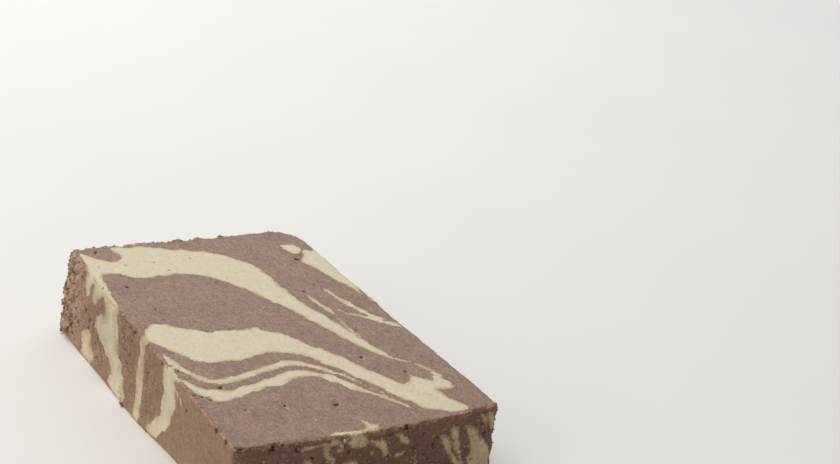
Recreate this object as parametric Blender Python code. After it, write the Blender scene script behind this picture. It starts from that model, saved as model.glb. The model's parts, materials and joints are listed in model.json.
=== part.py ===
"""A slice of marbled chocolate halva, cut by hand from a block and lying on one of its two broad faces.

Metres, +Z up. The origin is on the table, under the middle of the slice. +Y runs along the slice to its
crumbly back end, -X is the knife-cut side with the upright streaks, and -Y is the rough front end.
The slice is one solid: its rounded rims, the leaning back end, the chipped edges and the crumbly walls
are all relief in that solid.
"""

import itertools

import bmesh
import bpy
import numpy as np

MM = 0.001

# The slice as the knife left it: a slab with square edges
WIDTH = 80 * MM
LENGTH = 126.4 * MM
THICKNESS = 27 * MM
HALF = np.array([WIDTH / 2, LENGTH / 2])

# How far the corners are rounded off, seen from above
BACK_RIGHT_CORNER = 9.0 * MM
BACK_LEFT_CORNER = 4.5 * MM
FRONT_RIGHT_CORNER = 2.4 * MM
FRONT_LEFT_CORNER = 2.0 * MM

# The rim round the upper face
RIM_RADIUS = 0.8 * MM
BACK_RIM_EXTRA = 0.8 * MM
WORN_RIM_EXTRA = 1.6 * MM
WORN_RIM_FROM = 14 * MM
WORN_RIM_TO = 56 * MM
CHIP_DEPTH = 1.1 * MM
CHIP_LENGTH = 7.0 * MM
FOOT_RADIUS = 0.7 * MM

# How the walls stand: the cuts are a little askew, so some walls lean out towards the table and the
# front half of the left one is undercut. The slice grows wider towards the front, and its front end
# bulges and reaches further forward at the right
BACK_LEAN = 3.2 * MM
LEFT_LEAN = 1.6 * MM
LEFT_UNDERCUT = 2.2 * MM
UNDERCUT_FROM = 4 * MM
UNDERCUT_LENGTH = 30 * MM
LEFT_FLARE = 0.9 * MM
RIGHT_FLARE = 1.2 * MM
FRONT_SKEW = 1.0 * MM
FRONT_BULGE = 2.4 * MM
OUTLINE_WAVE = 0.7 * MM
OUTLINE_WAVE_LENGTH = 26 * MM
WALL_REACH = 10 * MM

# Relief of the walls: how deep the crumb is torn there
CUT_RELIEF = 0.20 * MM
TORN_RELIEF = 0.60 * MM
CRUMBLY_RELIEF = 1.25 * MM
CRUMBLY_END = 20 * MM
CRAG_SIZE = 5.5 * MM
LUMP_SIZE = 4.2 * MM
LUMP_SHARE = 1.1
FOOT_CALM = 2.2 * MM

# Spacing of the points
STATION_STEP = 1.9 * MM
RIM_ROWS = (0.35 * MM, 0.9 * MM, 1.9 * MM, 3.4 * MM)
FOOT_ROWS = (0.5 * MM, 1.6 * MM)
WALL_ROWS = 11
NOISE_PERIOD = 64
LUMP_PERIOD = 32

CHOCOLATE = (0.235, 0.165, 0.130, 1.0)
CHOCOLATE_ROUGHNESS = 0.75


def fade(share):
    """0 at or below 0, 1 at or above 1, and a smooth S between."""
    share = np.clip(share, 0.0, 1.0)
    return share * share * (3.0 - 2.0 * share)


def smooth_noise(points, size, seed):
    """Random values from -1 to 1 at the corners of cubes of this size, blended smoothly in between."""
    table = np.random.default_rng(seed).uniform(-1.0, 1.0, (NOISE_PERIOD,) * 3)
    place = points / size
    corner = np.floor(place).astype(int)
    share = fade(place - corner)
    total = np.zeros(len(points))
    for step in itertools.product((0, 1), repeat=3):
        weight = np.prod(np.where(step, share, 1.0 - share), axis=1)
        total += weight * table[tuple(((corner + step) % NOISE_PERIOD).T)]
    return total


def lumps(points, size, seed):
    """Rounded lumps, one for each cube of this size: 1 at a lump's middle and 0 in the gaps between them."""
    spots = np.random.default_rng(seed).uniform(0.0, 1.0, (LUMP_PERIOD,) * 3 + (3,))
    place = points / size
    corner = np.floor(place).astype(int)
    nearest = np.full(len(points), 2.0)
    for step in itertools.product((-1, 0, 1), repeat=3):
        cell = corner + step
        spot = cell + spots[tuple((cell % LUMP_PERIOD).T)]
        nearest = np.minimum(nearest, np.linalg.norm(spot - place, axis=1))
    return np.clip(1.0 - nearest, 0.0, 1.0)


def corner_radius(plan):
    """The rounding, seen from above, of the corner in whose quarter of the slice each point lies."""
    right = plan[:, 0] > 0
    back = plan[:, 1] > 0
    back_ones = np.where(right, BACK_RIGHT_CORNER, BACK_LEFT_CORNER)
    front_ones = np.where(right, FRONT_RIGHT_CORNER, FRONT_LEFT_CORNER)
    return np.where(back, back_ones, front_ones)


def round_corners(plan):
    """Moves square corners to round ones. Returns the new plan points and the way out of each one."""
    radius = corner_radius(plan)[:, None]
    side = np.where(plan < 0, -1.0, 1.0)
    inside = HALF - np.abs(plan)
    past = np.clip(radius - inside, 0.0, None)
    length = np.linalg.norm(past, axis=1, keepdims=True)
    in_corner = (past > 0).all(axis=1, keepdims=True)
    safe = np.where(length > 0, length, 1.0)
    rounded = past * past.max(axis=1, keepdims=True) / safe
    moved = np.where(in_corner, side * (HALF - radius + rounded), plan)
    nearest_side = side * (inside == inside.min(axis=1, keepdims=True))
    out = np.where(in_corner, side * past / safe, nearest_side)
    return moved, out / np.linalg.norm(out, axis=1, keepdims=True)


def rim_radius(points):
    """The rounding of the upper rim: small on clean cuts, larger at the worn left edge and in the chips."""
    x, y = points[:, 0], points[:, 1]
    radius = np.full(len(points), RIM_RADIUS)
    radius += BACK_RIM_EXTRA * fade((y - HALF[1] + WALL_REACH) / WALL_REACH)
    along_worn = fade((y - WORN_RIM_FROM) / WALL_REACH) * fade((WORN_RIM_TO - y) / WALL_REACH)
    radius += WORN_RIM_EXTRA * along_worn * fade((-x - HALF[0] + WALL_REACH) / WALL_REACH)
    ridge = np.column_stack([x, y, np.zeros(len(points))])
    chips = np.clip(smooth_noise(ridge, CHIP_LENGTH, seed=11) - 0.15, 0.0, 1.0)
    return np.minimum(radius + CHIP_DEPTH * chips, 0.9 * corner_radius(points[:, :2]))


def lean_and_wave(points):
    """How far the walls stand out of the square slab, as a shift in plan: they lean and wave, the side walls
    flare towards the front, where the left one is undercut, and the front end bulges and is cut askew."""
    x, y, z = points.T
    low = 1.0 - z / THICKNESS
    wave_x = OUTLINE_WAVE * smooth_noise(points, OUTLINE_WAVE_LENGTH, seed=21)
    wave_y = OUTLINE_WAVE * smooth_noise(points, OUTLINE_WAVE_LENGTH, seed=22)
    left = LEFT_LEAN * fade((y + HALF[1]) / LENGTH)
    left -= LEFT_UNDERCUT * fade((UNDERCUT_FROM - y) / UNDERCUT_LENGTH)
    back = BACK_LEAN * low ** 0.7 * (y > 0) * fade((HALF[0] - x) / WIDTH + 0.35)
    reach_x = fade(1.0 - (HALF[0] - np.abs(x)) / WALL_REACH)
    reach_y = fade(1.0 - (HALF[1] - np.abs(y)) / WALL_REACH)
    flare = np.where(x < 0, LEFT_FLARE, RIGHT_FLARE * (1.0 + low)) * fade(-y / HALF[1])
    across = x / HALF[0]
    front = (FRONT_SKEW * across + FRONT_BULGE * (1.0 - across ** 2)) * (y < 0)
    shift_x = np.sign(x) * reach_x * (wave_x + left * low * (x < 0) + flare)
    shift_y = np.sign(y) * reach_y * (wave_y + back + front)
    return np.column_stack([shift_x, shift_y])


def relief_depth(points):
    """How rough the wall is: a clean cut at the left and right, torn in front and crumbly at the back."""
    x, y = points[:, 0], points[:, 1]
    at_front = fade((-y - HALF[1] + FRONT_LEFT_CORNER) / FRONT_LEFT_CORNER)
    at_back = fade((y - HALF[1] + CRUMBLY_END) / CRUMBLY_END) * fade((HALF[0] * 1.3 - x) / HALF[0])
    depth = CUT_RELIEF + (TORN_RELIEF - CUT_RELIEF) * at_front
    return depth + (CRUMBLY_RELIEF - depth) * at_back


def relief(points):
    """The crags and lumps of the walls, in metres outwards."""
    crags = smooth_noise(points, CRAG_SIZE, seed=31) + 0.5 * smooth_noise(points, CRAG_SIZE / 2, seed=32)
    bumps = LUMP_SHARE * (lumps(points, LUMP_SIZE, seed=33) - 0.35)
    calm_foot = fade(points[:, 2] / FOOT_CALM)
    return relief_depth(points) * calm_foot * (0.6 * crags + bumps)


def slice_surface(points):
    """Moves points of the square slab's surface to the real slice: rounded, leaning, wavy and crumbly.

    Near a rim, a point at a distance in from the edge and a distance down from the face goes onto a
    quarter circle. All the rest is a shift outwards, which fades out towards the middle of the faces.
    """
    x, y, z = points.T
    plan, out = round_corners(points[:, :2])
    inset = np.minimum(HALF[0] - np.abs(x), HALF[1] - np.abs(y))
    upper = z > THICKNESS / 2
    radius = np.where(upper, rim_radius(points), FOOT_RADIUS)
    drop = np.where(upper, THICKNESS - z, z)
    past_edge = np.clip(radius - inset, 0.0, None)
    past_face = np.clip(radius - drop, 0.0, None)
    reach = np.hypot(past_edge, past_face)
    rounded = (past_edge > 0) & (past_face > 0)
    factor = np.where(rounded, radius / np.where(reach > 0, reach, 1.0), 1.0)
    new_inset = np.where(rounded, radius - past_edge * factor, inset)
    new_drop = np.where(rounded, radius - past_face * factor, drop)
    plan = plan - out * (new_inset - inset)[:, None]
    height = np.where(upper, THICKNESS - new_drop, new_drop)

    on_face = (drop <= 0) & (past_edge <= 0)
    sideways = np.where(on_face, 0.0, np.where(rounded, past_edge * factor / radius, 1.0))
    upwards = np.where(rounded & upper, sideways * past_face * factor / radius, 0.0)
    push = np.where(on_face, 0.0, relief(points))
    plan = plan + lean_and_wave(points) + out * (sideways * push)[:, None]
    return np.column_stack([plan, height + upwards * push])


def outline(inset):
    """Points round the square slab, this far in from its edge, the same number for every inset."""
    steps_x, steps_y = (round(2 * half / STATION_STEP) for half in HALF)
    run_x = np.linspace(-1.0, 1.0, steps_x, endpoint=False)
    run_y = np.linspace(-1.0, 1.0, steps_y, endpoint=False)
    front = np.column_stack([run_x, np.full(steps_x, -1.0)])
    right = np.column_stack([np.full(steps_y, 1.0), run_y])
    back = np.column_stack([-run_x, np.full(steps_x, 1.0)])
    left = np.column_stack([np.full(steps_y, -1.0), -run_y])
    return np.concatenate([front, right, back, left]) * (HALF - inset)


def rows():
    """The inset and height of each row of points, from the upper face over the rim down to the foot."""
    upper = [(inset, THICKNESS) for inset in reversed(RIM_ROWS)]
    rim_drops = (0.0, RIM_ROWS[0], RIM_ROWS[1], RIM_ROWS[2])
    rim = [(0.0, THICKNESS - drop) for drop in rim_drops]
    heights = np.linspace(THICKNESS - RIM_ROWS[3], FOOT_ROWS[1], WALL_ROWS)
    wall = [(0.0, height) for height in heights]
    foot = [(0.0, FOOT_ROWS[0]), (0.0, 0.0)] + [(inset, 0.0) for inset in FOOT_ROWS]
    return upper + rim + wall + foot


def build_slice():
    """One closed mesh: rings of points joined one below another, with a flat face closing each end."""
    mesh = bpy.data.meshes.new("halva_slice")
    shape = bmesh.new()
    rings = []
    for inset, height in rows():
        plan = outline(inset)
        square = np.column_stack([plan, np.full(len(plan), height)])
        rings.append([shape.verts.new(point) for point in slice_surface(square)])
    for upper, lower in itertools.pairwise(rings):
        for here, there in zip(range(-1, len(upper) - 1), range(len(upper))):
            shape.faces.new((upper[here], lower[here], lower[there], upper[there]))
    shape.faces.new(rings[0])
    shape.faces.new(reversed(rings[-1]))
    bmesh.ops.triangulate(shape, faces=[face for face in shape.faces if len(face.verts) == 4])
    bmesh.ops.recalc_face_normals(shape, faces=shape.faces)
    shape.to_mesh(mesh)
    shape.free()
    centre_over_origin(mesh)
    mesh.shade_smooth()
    mesh.set_sharp_from_angle(angle=np.radians(40))
    return mesh


def centre_over_origin(mesh):
    """Moves the mesh sideways, so that the middle of its box is over the origin."""
    points = np.empty(len(mesh.vertices) * 3)
    mesh.vertices.foreach_get("co", points)
    points = points.reshape(-1, 3)
    points[:, :2] -= (points[:, :2].min(axis=0) + points[:, :2].max(axis=0)) / 2
    mesh.vertices.foreach_set("co", points.ravel())
    mesh.update()


def chocolate_material():
    """Matt brown: the darker of the two pastes, which most of the slice is made of."""
    material = bpy.data.materials.new("chocolate_halva")
    material.use_nodes = True
    shader = material.node_tree.nodes["Principled BSDF"]
    shader.inputs["Base Color"].default_value = CHOCOLATE
    shader.inputs["Roughness"].default_value = CHOCOLATE_ROUGHNESS
    shader.inputs["Metallic"].default_value = 0.0
    return material


def main():
    for old in list(bpy.data.objects):
        bpy.data.objects.remove(old)
    mesh = build_slice()
    mesh.materials.append(chocolate_material())
    bpy.context.scene.collection.objects.link(bpy.data.objects.new("halva_slice", mesh))


main()
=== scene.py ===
"""The looks of a slice of marbled chocolate halva: its cut faces, its torn ends and the crumbs on them.

Metres, +Z up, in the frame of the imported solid. The slab is the slice before its rims were rounded and
its walls torn: a plain box with its middle over the slab's own origin and its foot on the table. Its form
repeats the solid's, at a finer step, and the marbling is a field over it, in millimetres.
"""

import itertools
import json
from math import radians

import bpy
import numpy as np
from bpy.props import FloatProperty, FloatVectorProperty, IntProperty, PointerProperty
from mathutils import Matrix, Vector

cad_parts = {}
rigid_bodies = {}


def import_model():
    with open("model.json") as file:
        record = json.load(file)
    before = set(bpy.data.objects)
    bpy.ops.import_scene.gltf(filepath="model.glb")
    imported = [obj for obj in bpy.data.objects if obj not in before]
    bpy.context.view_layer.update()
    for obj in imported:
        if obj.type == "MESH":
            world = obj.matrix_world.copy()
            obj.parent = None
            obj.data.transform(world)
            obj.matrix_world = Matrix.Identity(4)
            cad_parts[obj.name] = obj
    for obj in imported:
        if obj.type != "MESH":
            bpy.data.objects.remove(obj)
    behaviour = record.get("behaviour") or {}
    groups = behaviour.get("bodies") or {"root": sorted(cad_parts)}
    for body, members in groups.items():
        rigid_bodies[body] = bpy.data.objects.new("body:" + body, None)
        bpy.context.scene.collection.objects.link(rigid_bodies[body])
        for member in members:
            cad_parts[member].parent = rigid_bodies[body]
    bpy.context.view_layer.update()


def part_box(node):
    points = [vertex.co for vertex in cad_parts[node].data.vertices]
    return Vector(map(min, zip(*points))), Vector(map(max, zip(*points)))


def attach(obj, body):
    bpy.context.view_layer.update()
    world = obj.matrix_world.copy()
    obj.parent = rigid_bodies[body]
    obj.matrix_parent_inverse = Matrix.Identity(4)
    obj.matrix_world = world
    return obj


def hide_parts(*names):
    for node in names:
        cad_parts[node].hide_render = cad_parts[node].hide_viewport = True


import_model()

bl_info = {
    "name": "Marbled halva slice",
    "version": (1, 0, 0),
    "blender": (4, 5, 0),
    "location": "View3D > Sidebar > Halva",
    "description": "Builds a slice of marbled chocolate halva with its crumbs, and a pale stage for it",
    "category": "Add Mesh",
}

MM = 0.001
NODE = "halva_slice"
BODY = "root"
SLICE_NAME = "halva_slice_surface"

# The form of the solid: the square slab, and how far its corners are rounded off, seen from above
WIDTH = 80 * MM
LENGTH = 126.4 * MM
THICKNESS = 27 * MM
HALF = np.array([WIDTH / 2, LENGTH / 2])
BACK_RIGHT_CORNER = 9.0 * MM
BACK_LEFT_CORNER = 4.5 * MM
FRONT_RIGHT_CORNER = 2.4 * MM
FRONT_LEFT_CORNER = 2.0 * MM

# The rim round the upper face
RIM_RADIUS = 0.8 * MM
BACK_RIM_EXTRA = 0.8 * MM
WORN_RIM_EXTRA = 1.6 * MM
WORN_RIM_FROM = 14 * MM
WORN_RIM_TO = 56 * MM
CHIP_DEPTH = 1.1 * MM
CHIP_LENGTH = 7.0 * MM
FOOT_RADIUS = 0.7 * MM

# How the walls stand, and how deep their crumb is torn
BACK_LEAN = 3.2 * MM
LEFT_LEAN = 1.6 * MM
LEFT_UNDERCUT = 2.2 * MM
UNDERCUT_FROM = 4 * MM
UNDERCUT_LENGTH = 30 * MM
LEFT_FLARE = 0.9 * MM
RIGHT_FLARE = 1.2 * MM
FRONT_SKEW = 1.0 * MM
FRONT_BULGE = 2.4 * MM
OUTLINE_WAVE = 0.7 * MM
OUTLINE_WAVE_LENGTH = 26 * MM
WALL_REACH = 10 * MM
CUT_RELIEF = 0.20 * MM
TORN_RELIEF = 0.60 * MM
CRUMBLY_RELIEF = 1.25 * MM
CRUMBLY_END = 20 * MM
CRAG_SIZE = 5.5 * MM
LUMP_SIZE = 4.2 * MM
LUMP_SHARE = 1.1
FOOT_CALM = 2.2 * MM
NOISE_PERIOD = 64
LUMP_PERIOD = 32

# Where the slab's lattice lines lie: close together at a rim, then a step apart
RIM_STEPS = np.cumsum([0.20, 0.25, 0.30, 0.40, 0.50]) * MM
PLACING_STEP = 1.9 * MM

# The marbling was read with its origin this far from the slab's, in millimetres
MARBLE_ORIGIN = np.array([0.0, -1.3])
CHART_REACH = 1.6
FAR = 99.0
CURVE_STEPS = 4

# How far up the walls the oily foot and the painted floor light on their lower part reach, and where the
# smooth front part of the left wall, also painted lighter as if lit from the floor, begins along it
FOOT_TINT = 2.0 * MM
BOUNCE_LIT_HEIGHT = 16 * MM
FLOOR_LIT_FROM = 0.0
FLOOR_LIT_FADE = 22 * MM

# The layers of the fine relief: the size of each one's noise, how much height is squeezed in it, which
# draws it out upwards, its share and its seed
CLEAN_GRAIN = ((1.3 * MM, 1.0, 1.0, 51), (14 * MM, 1.0, 2.0, 52))
DRAG_MARKS = ((1.25 * MM, 0.11, 1.0, 53), (2.9 * MM, 0.2, 0.7, 54))
TORN_CRUMB = ((2.3 * MM, 1.0, 1.0, 55), (1.2 * MM, 1.0, 0.7, 56))
COARSE_CRUMB = ((2.0 * MM, 1.0, 0.5, 57),)

# The lumps in the coarse crumb: size, share and seed, and their mean height
COARSE_LUMPS = ((2.6 * MM, 1.3, 58), (1.4 * MM, 0.5, 59))
LUMP_MEAN = 0.4

# How wide the bands are along the rims and at the back end in which the looks change, and how large the
# rough patches of the clean walls are
RIM_BAND = 2.5 * MM
BACK_BAND = 3 * MM
ROUGH_PATCH = 12 * MM

# The cloudy patterns in the colours and bumps: the size of their largest spots, how many finer layers
# lie over them, and how strong each layer is beside the one before
CLOUDS = {
    "wander": (4.0 * MM, 3.0, 0.5),
    "fray": (1.1 * MM, 3.0, 0.65),
    "fine": (0.58 * MM, 3.0, 0.7),
    "coarse": (1.9 * MM, 3.0, 0.6),
    "porous": (3.1 * MM, 2.0, 0.5),
    "slow": (5 * MM, 2.0, 0.5),
    "marks": (1.5 * MM, 3.0, 0.6),
    "tone": (9 * MM, 3.0, 0.5),
    # spots of the painted highlight along the rims
    "highlighted": (1.8 * MM, 3.0, 0.5),
    "oily": (2.6 * MM, 4.0, 0.65),
    "crumbled": (1.4 * MM, 3.0, 0.5),
    "oozing": (3.0 * MM, 3.0, 0.5),
    "red": (1.3 * MM, 3.0, 0.6),
    "matt": (1.6 * MM, 2.0, 0.5),
    "floor": (0.15, 2.0, 0.5),
}

# The patterns that stand out as blots: where a blot begins in the pattern, and where it is full
BLOTS = {
    "porous": (0.45, 0.70),
    "tone": (0.35, 0.70),
    "oily": (0.55, 0.80),
    "crumbled": (0.50, 0.62),
    "oozing": (0.35, 0.60),
    "red": (0.56, 0.70),
    "matt": (0.30, 0.70),
    "floor": (0.30, 0.70),
}

# The cells of the grain, how far it and the drag marks are drawn out, and how deep the bumps are
CRUMB_CELL = 1.1 * MM
SPECK_CELL = 0.75 * MM
PORE_CELL = 1.7 * MM
GRAIN_DRAWN_OUT = (1.0, 0.55, 1.0)
MARKS_DRAWN_OUT = (1.0, 1.0, 0.09)
BUMP_DEPTH = 0.35 * MM

# The shader's own settings for the paste: a soft gloss, and light that enters it and comes out again
PASTE_FINISH = {
    "Specular IOR Level": 0.6,
    "Subsurface Weight": 0.12,
    "Subsurface Radius": (1.0, 0.6, 0.35),
    "Subsurface Scale": 1.2 * MM,
}

# What is stored at each point of the slice for its material
FIELDS = (
    "marbling", "crest", "crumbly", "front", "foot", "low", "torn", "dragged", "burnished", "hollow", "rim")

# The pale paste on the upper face, in millimetres. A patch is a closed outline
TOP_PATCHES = (
    # the band along the back, which bends towards the front and thins out to nothing
    ((-37.7, 60.8), (-35.5, 58.3), (-33.9, 56), (-31.4, 53.9), (-29.6, 52.6), (-28.4, 53.2),
     (-26.4, 54.3), (-25.8, 56), (-26.4, 59), (-26.6, 62.8), (-23, 62.6), (-20.5, 61.5), (-18.6, 62.4),
     (-15.5, 61.7), (-13, 60.4), (-10.5, 59.5), (-8, 57.5), (-4.9, 57), (-2.4, 55.5), (1.4, 54.2),
     (4.5, 52), (7, 49.5), (8.9, 47), (10.8, 44.5), (12.6, 42), (13.9, 38.3), (14.5, 34.5), (15.1, 30.1),
     (14.9, 25.7), (15.8, 17), (16.6, 9.3), (18.2, 4.1), (19.2, -1), (20.5, -6.2), (21.4, -10.5),
     (22.5, -15.7), (23.5, -20.9), (24.8, -26.9), (25.7, -30.2), (24.4, -29.3), (23.1, -26.9),
     (20.5, -22.6), (17.9, -16.6), (15.8, -9.7), (13.2, -1), (10.6, 6.7), (8.6, 12), (7.2, 13.4),
     (5, 20), (3.8, 23.1), (1.9, 26.3), (0, 29.4), (-3, 33), (-6, 36.5), (-10, 38.5), (-14, 40),
     (-16, 39.5), (-18, 39), (-19.5, 40), (-22, 38.8), (-25, 39), (-27, 40.2), (-29, 41.6), (-31, 43.6),
     (-34, 44.5), (-36.3, 43.8), (-37.2, 42), (-37.7, 38), (-38.2, 34), (-38.8, 30), (-39.4, 25.6),
     (-40.3, 21.5), (-41.5, 19.5), (-44, 19), (-44, 47), (-40.5, 49), (-38.9, 52), (-38.3, 56.4)),
    # the broad band from the left edge, which ends in two branches at the front right
    ((-40, 1), (-38.5, 4.5), (-37, 7), (-35.5, 8.2), (-33.5, 9), (-32, 8), (-30.2, 8.1), (-29, 6),
     (-26, 4), (-23, 2.1), (-21, 0), (-19.8, -0.5), (-18, 0.4), (-16, -0.5), (-12, -1), (-8, -1.3),
     (-5.5, -0.8), (-4, -3), (-2, -4.8), (0, -6.3), (2, -10), (4, -13.5), (5.9, -17.3), (7.3, -17.8),
     (8.2, -20.3), (9.8, -22.8), (10.9, -24.9), (11.9, -27.8), (13.2, -30.8), (14.4, -33.3),
     (15.5, -35.8), (16.4, -38), (17.8, -40.3), (19, -42.8), (20.1, -44.6), (22.1, -43.6), (23.2, -41.9),
     (24.6, -40.5), (26.2, -41.3), (27.9, -43.6), (29, -44.7), (29.8, -44.9), (30.9, -43.6), (32.4, -42),
     (33.4, -45), (34, -48.6), (33.4, -50.2), (31.8, -50.2), (30.1, -49.9), (28.7, -49.4), (27.6, -50.2),
     (28.2, -53), (28.7, -54.7), (29.8, -57.4), (30.7, -60.2), (30.9, -61.8), (28.4, -62.2),
     (25.7, -61.6), (22.9, -60.3), (19.6, -58.7), (17.6, -55.8), (16.8, -53.6), (15.4, -51.9),
     (14.3, -49.1), (12.8, -45.3), (11.7, -42.8), (10.5, -40.3), (9.4, -38.3), (8.4, -35.8), (7.5, -33.3),
     (6.3, -30.8), (5, -29.1), (3.6, -27), (2.8, -24.9), (1.7, -23), (0.5, -21), (-1.4, -19.5),
     (-3.5, -18.3), (-6, -17), (-8.5, -16.4), (-9.8, -16), (-11.4, -16.8), (-13.9, -17.4), (-16.8, -18.2),
     (-19.3, -18.3), (-22.3, -17.8), (-25.2, -17.6), (-27.7, -17.4), (-29.3, -16.2), (-31.4, -14.9),
     (-33.2, -12.2), (-35, -8.5), (-36.5, -5.2), (-38, -2.5), (-39.3, -1.5), (-41.5, -2)),
    # the second of the two lines along it, which begins at the left wall
    ((-41.5, -16.8), (-40.6, -18.5), (-40.2, -20.3), (-39.1, -22.8), (-37.9, -25.8), (-36.6, -28.3),
     (-35.2, -30.3), (-33.5, -31.5), (-31.4, -32.5), (-29.3, -33), (-27.2, -32.8), (-25.2, -32.1),
     (-21, -31.4), (-18.9, -30.8), (-16.8, -30.3), (-14.8, -29.7), (-12.7, -28.8), (-10.6, -28.2),
     (-8.5, -27.8), (-6.4, -28), (-4.3, -28.5), (-2.7, -29.5), (-1, -30.8), (1.1, -32.6), (2.8, -34),
     (3.6, -35.8), (4.6, -37.2), (5.3, -38.7), (6.9, -41.6), (9, -45.2), (11.2, -48.6), (13.4, -51.9),
     (14.8, -54.7), (14.6, -56.3), (12.9, -53.8), (10.7, -50.4), (8.4, -47.1), (6.1, -44.5), (4.4, -42.4),
     (2.8, -40.3), (2.3, -38.4), (0.7, -37), (-0.6, -35.3), (-1.2, -33.6), (-2.7, -32.9), (-4.3, -32.2),
     (-6.4, -32), (-8.5, -32), (-10.2, -32.4), (-11.8, -33.7), (-13.5, -34.7), (-14.8, -34.8),
     (-16.8, -34.1), (-18.9, -34.5), (-21, -35.3), (-25.2, -35.8), (-27.2, -37), (-29.3, -37.4),
     (-31.8, -38.2), (-33.9, -38), (-35.6, -37), (-36.2, -34.6), (-38, -32.4), (-38.9, -30.3),
     (-40.2, -26.8), (-41.5, -25.5), (-44, -25), (-44, -17)),
    # at the right edge, a small patch and a large one with a crack between them
    ((29.6, 52.8), (31.7, 53), (33.9, 52.2), (35.4, 50.4), (35.1, 48.2), (33.9, 46.4), (32.6, 45),
     (31.1, 45.8), (30.1, 48.9)),
    ((36.6, 47.6), (38.6, 46), (43, 44), (44, 8), (40.5, 4), (38.6, 11), (37.7, 16.2), (36, 21.3),
     (34.7, 26.5), (33.6, 30.5), (33.2, 33.3), (32.3, 36.4), (31.1, 39.3), (34, 44)),
)

# A streak is a run of places, each with the streak's half-width there
TOP_STREAKS = (
    ((-40.2, -5.5, 0.5), (-39.4, -8.5, 0.9), (-38.3, -12, 1.15), (-37.4, -16, 1.2), (-36.5, -19.3, 0.9),
     (-35.3, -22, 0.85), (-33.9, -24.8, 1.1), (-32.3, -26.8, 1.05), (-30.3, -27.6, 1.25),
     (-27.3, -28, 1.35), (-23, -27.2, 1.3), (-19, -26.1, 1.15), (-14.8, -25.1, 1.3), (-10.6, -24.3, 1.25),
     (-7.5, -23.6, 1.45), (-4.6, -24, 1.4), (-2, -25.8, 1.05), (0, -27.7, 0.95), (1.4, -29.3, 0.95),
     (2.7, -31, 0.75), (3.9, -32.4, 0.45), (5.7, -34.5, 0.6), (6.6, -36.3, 0.25), (7.4, -38, 0.55),
     (8.4, -40.3, 0.2), (9.4, -42.5, 0.35), (11, -46, 0.3), (12, -49, 0.1)),
    ((28.2, 17.8, 0.3), (28.7, 13.6, 0.65), (29.6, 9.3, 0.8), (30.6, 5.4, 0.9), (31.8, 1.5, 1.0),
     (33, -1.9, 1.0), (34.3, -4.4, 0.8), (36.2, -6.5, 0.4)),
    ((20.4, 15, 0.3), (20.9, 10.1, 0.7), (21.6, 5.8, 0.85), (22.2, 3, 0.85), (22, 1, 0.5)),
    ((25.2, 3, 0.2), (26.5, 0.2, 0.5), (29.1, -1.7, 0.6), (32.1, -4.5, 0.6), (34.7, -7.5, 0.8),
     (37.7, -10.1, 0.7), (39, -12.5, 0.4)),
    ((22.2, -2.5, 0.2), (21.9, -7, 0.3), (22.3, -12, 0.35), (23.2, -16.6, 0.15)),
    ((26.5, -30.4, 0.15), (28.5, -32.8, 0.25), (30.2, -35, 0.35), (32, -39, 0.6), (33, -43, 0.8)),
    ((-13, -62.3, 0.3), (-11.3, -62.3, 0.8), (-9.5, -62.6, 0.5), (-6, -62.9, 0.6), (-3, -62.9, 0.7),
     (-1, -62.3, 1.3), (0.4, -61.8, 0.9)),
    ((-1.8, -58, 0.1), (-1.6, -60, 0.7), (-1, -62, 1.2)),
)

# The left wall, across which these run: place along the slice towards the front, and height
LEFT_PATCHES = (
    # the small patch at the foot near the back
    ((-45.3, 8), (-43, 9.5), (-39.3, 10), (-38.2, 9), (-38, 7), (-36, 5.3), (-35.2, 3), (-35.8, -3),
     (-45.5, -3), (-44.2, 1.5), (-43.8, 3.5), (-45, 6)),
    # the large one under the rim, with two drips at its back end
    ((-52, 30), (-48.2, 26.2), (-47.7, 23.3), (-46.4, 20.1), (-43.9, 20.8), (-43, 24), (-42.2, 25.6),
     (-40.8, 25), (-40.2, 21.2), (-38.3, 20.2), (-36.6, 21.2), (-35.8, 23.2), (-33, 24.8), (-30.3, 24.6),
     (-29, 22.5), (-29.4, 20.8), (-33.3, 19.1), (-35.7, 17.1), (-36.2, 15), (-37.2, 13.2), (-35, 13.9),
     (-32.7, 13), (-31, 11.2), (-27.5, 11.2), (-26.2, 9.2), (-22.9, 8.8), (-20.8, 6.8), (-21.1, 5.2),
     (-22.7, 1.9), (-24.2, -0.2), (-25.5, -3), (-12.5, -3), (-10.8, 1), (-10, 3.5), (-11.7, 6),
     (-11.6, 8.2), (-13.8, 10), (-13.5, 12), (-17.2, 13), (-17.5, 15.5), (-17.9, 19), (-19, 22),
     (-20.7, 24.5), (-23, 30)),
)
LEFT_STREAKS = (
    ((-1.5, 29, 2.2), (-1.3, 26, 1.7), (-1, 20, 1.8), (-0.9, 15, 2.4), (-1.1, 11, 2.1), (-0.9, 7.5, 1.75),
     (-1.1, 3.5, 1.65), (-1.6, -3, 1.9)),
    ((19, 29, 4.2), (17.9, 26, 3.8), (17.8, 23.8, 3.75), (17.9, 21.3, 3.9), (18.4, 18.7, 3.9),
     (17, 15.3, 3.5), (16.2, 12.8, 3.4), (15.8, 10.3, 2.8), (15, 8.4, 2.6), (12.8, 6.6, 2.5),
     (11.1, 4.8, 2.5), (9.8, 2.9, 2.2), (8.1, 1.3, 1.9), (7, -1, 1.4)),
    ((5.9, 17.2, -0.2), (6.8, 15, 0.1), (7.6, 12.4, -0.1)),
    ((20.8, 24.2, -0.1), (23.2, 22.8, 0), (25.6, 22, 0.3), (26.6, 20.6, 0)),
)

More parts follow.
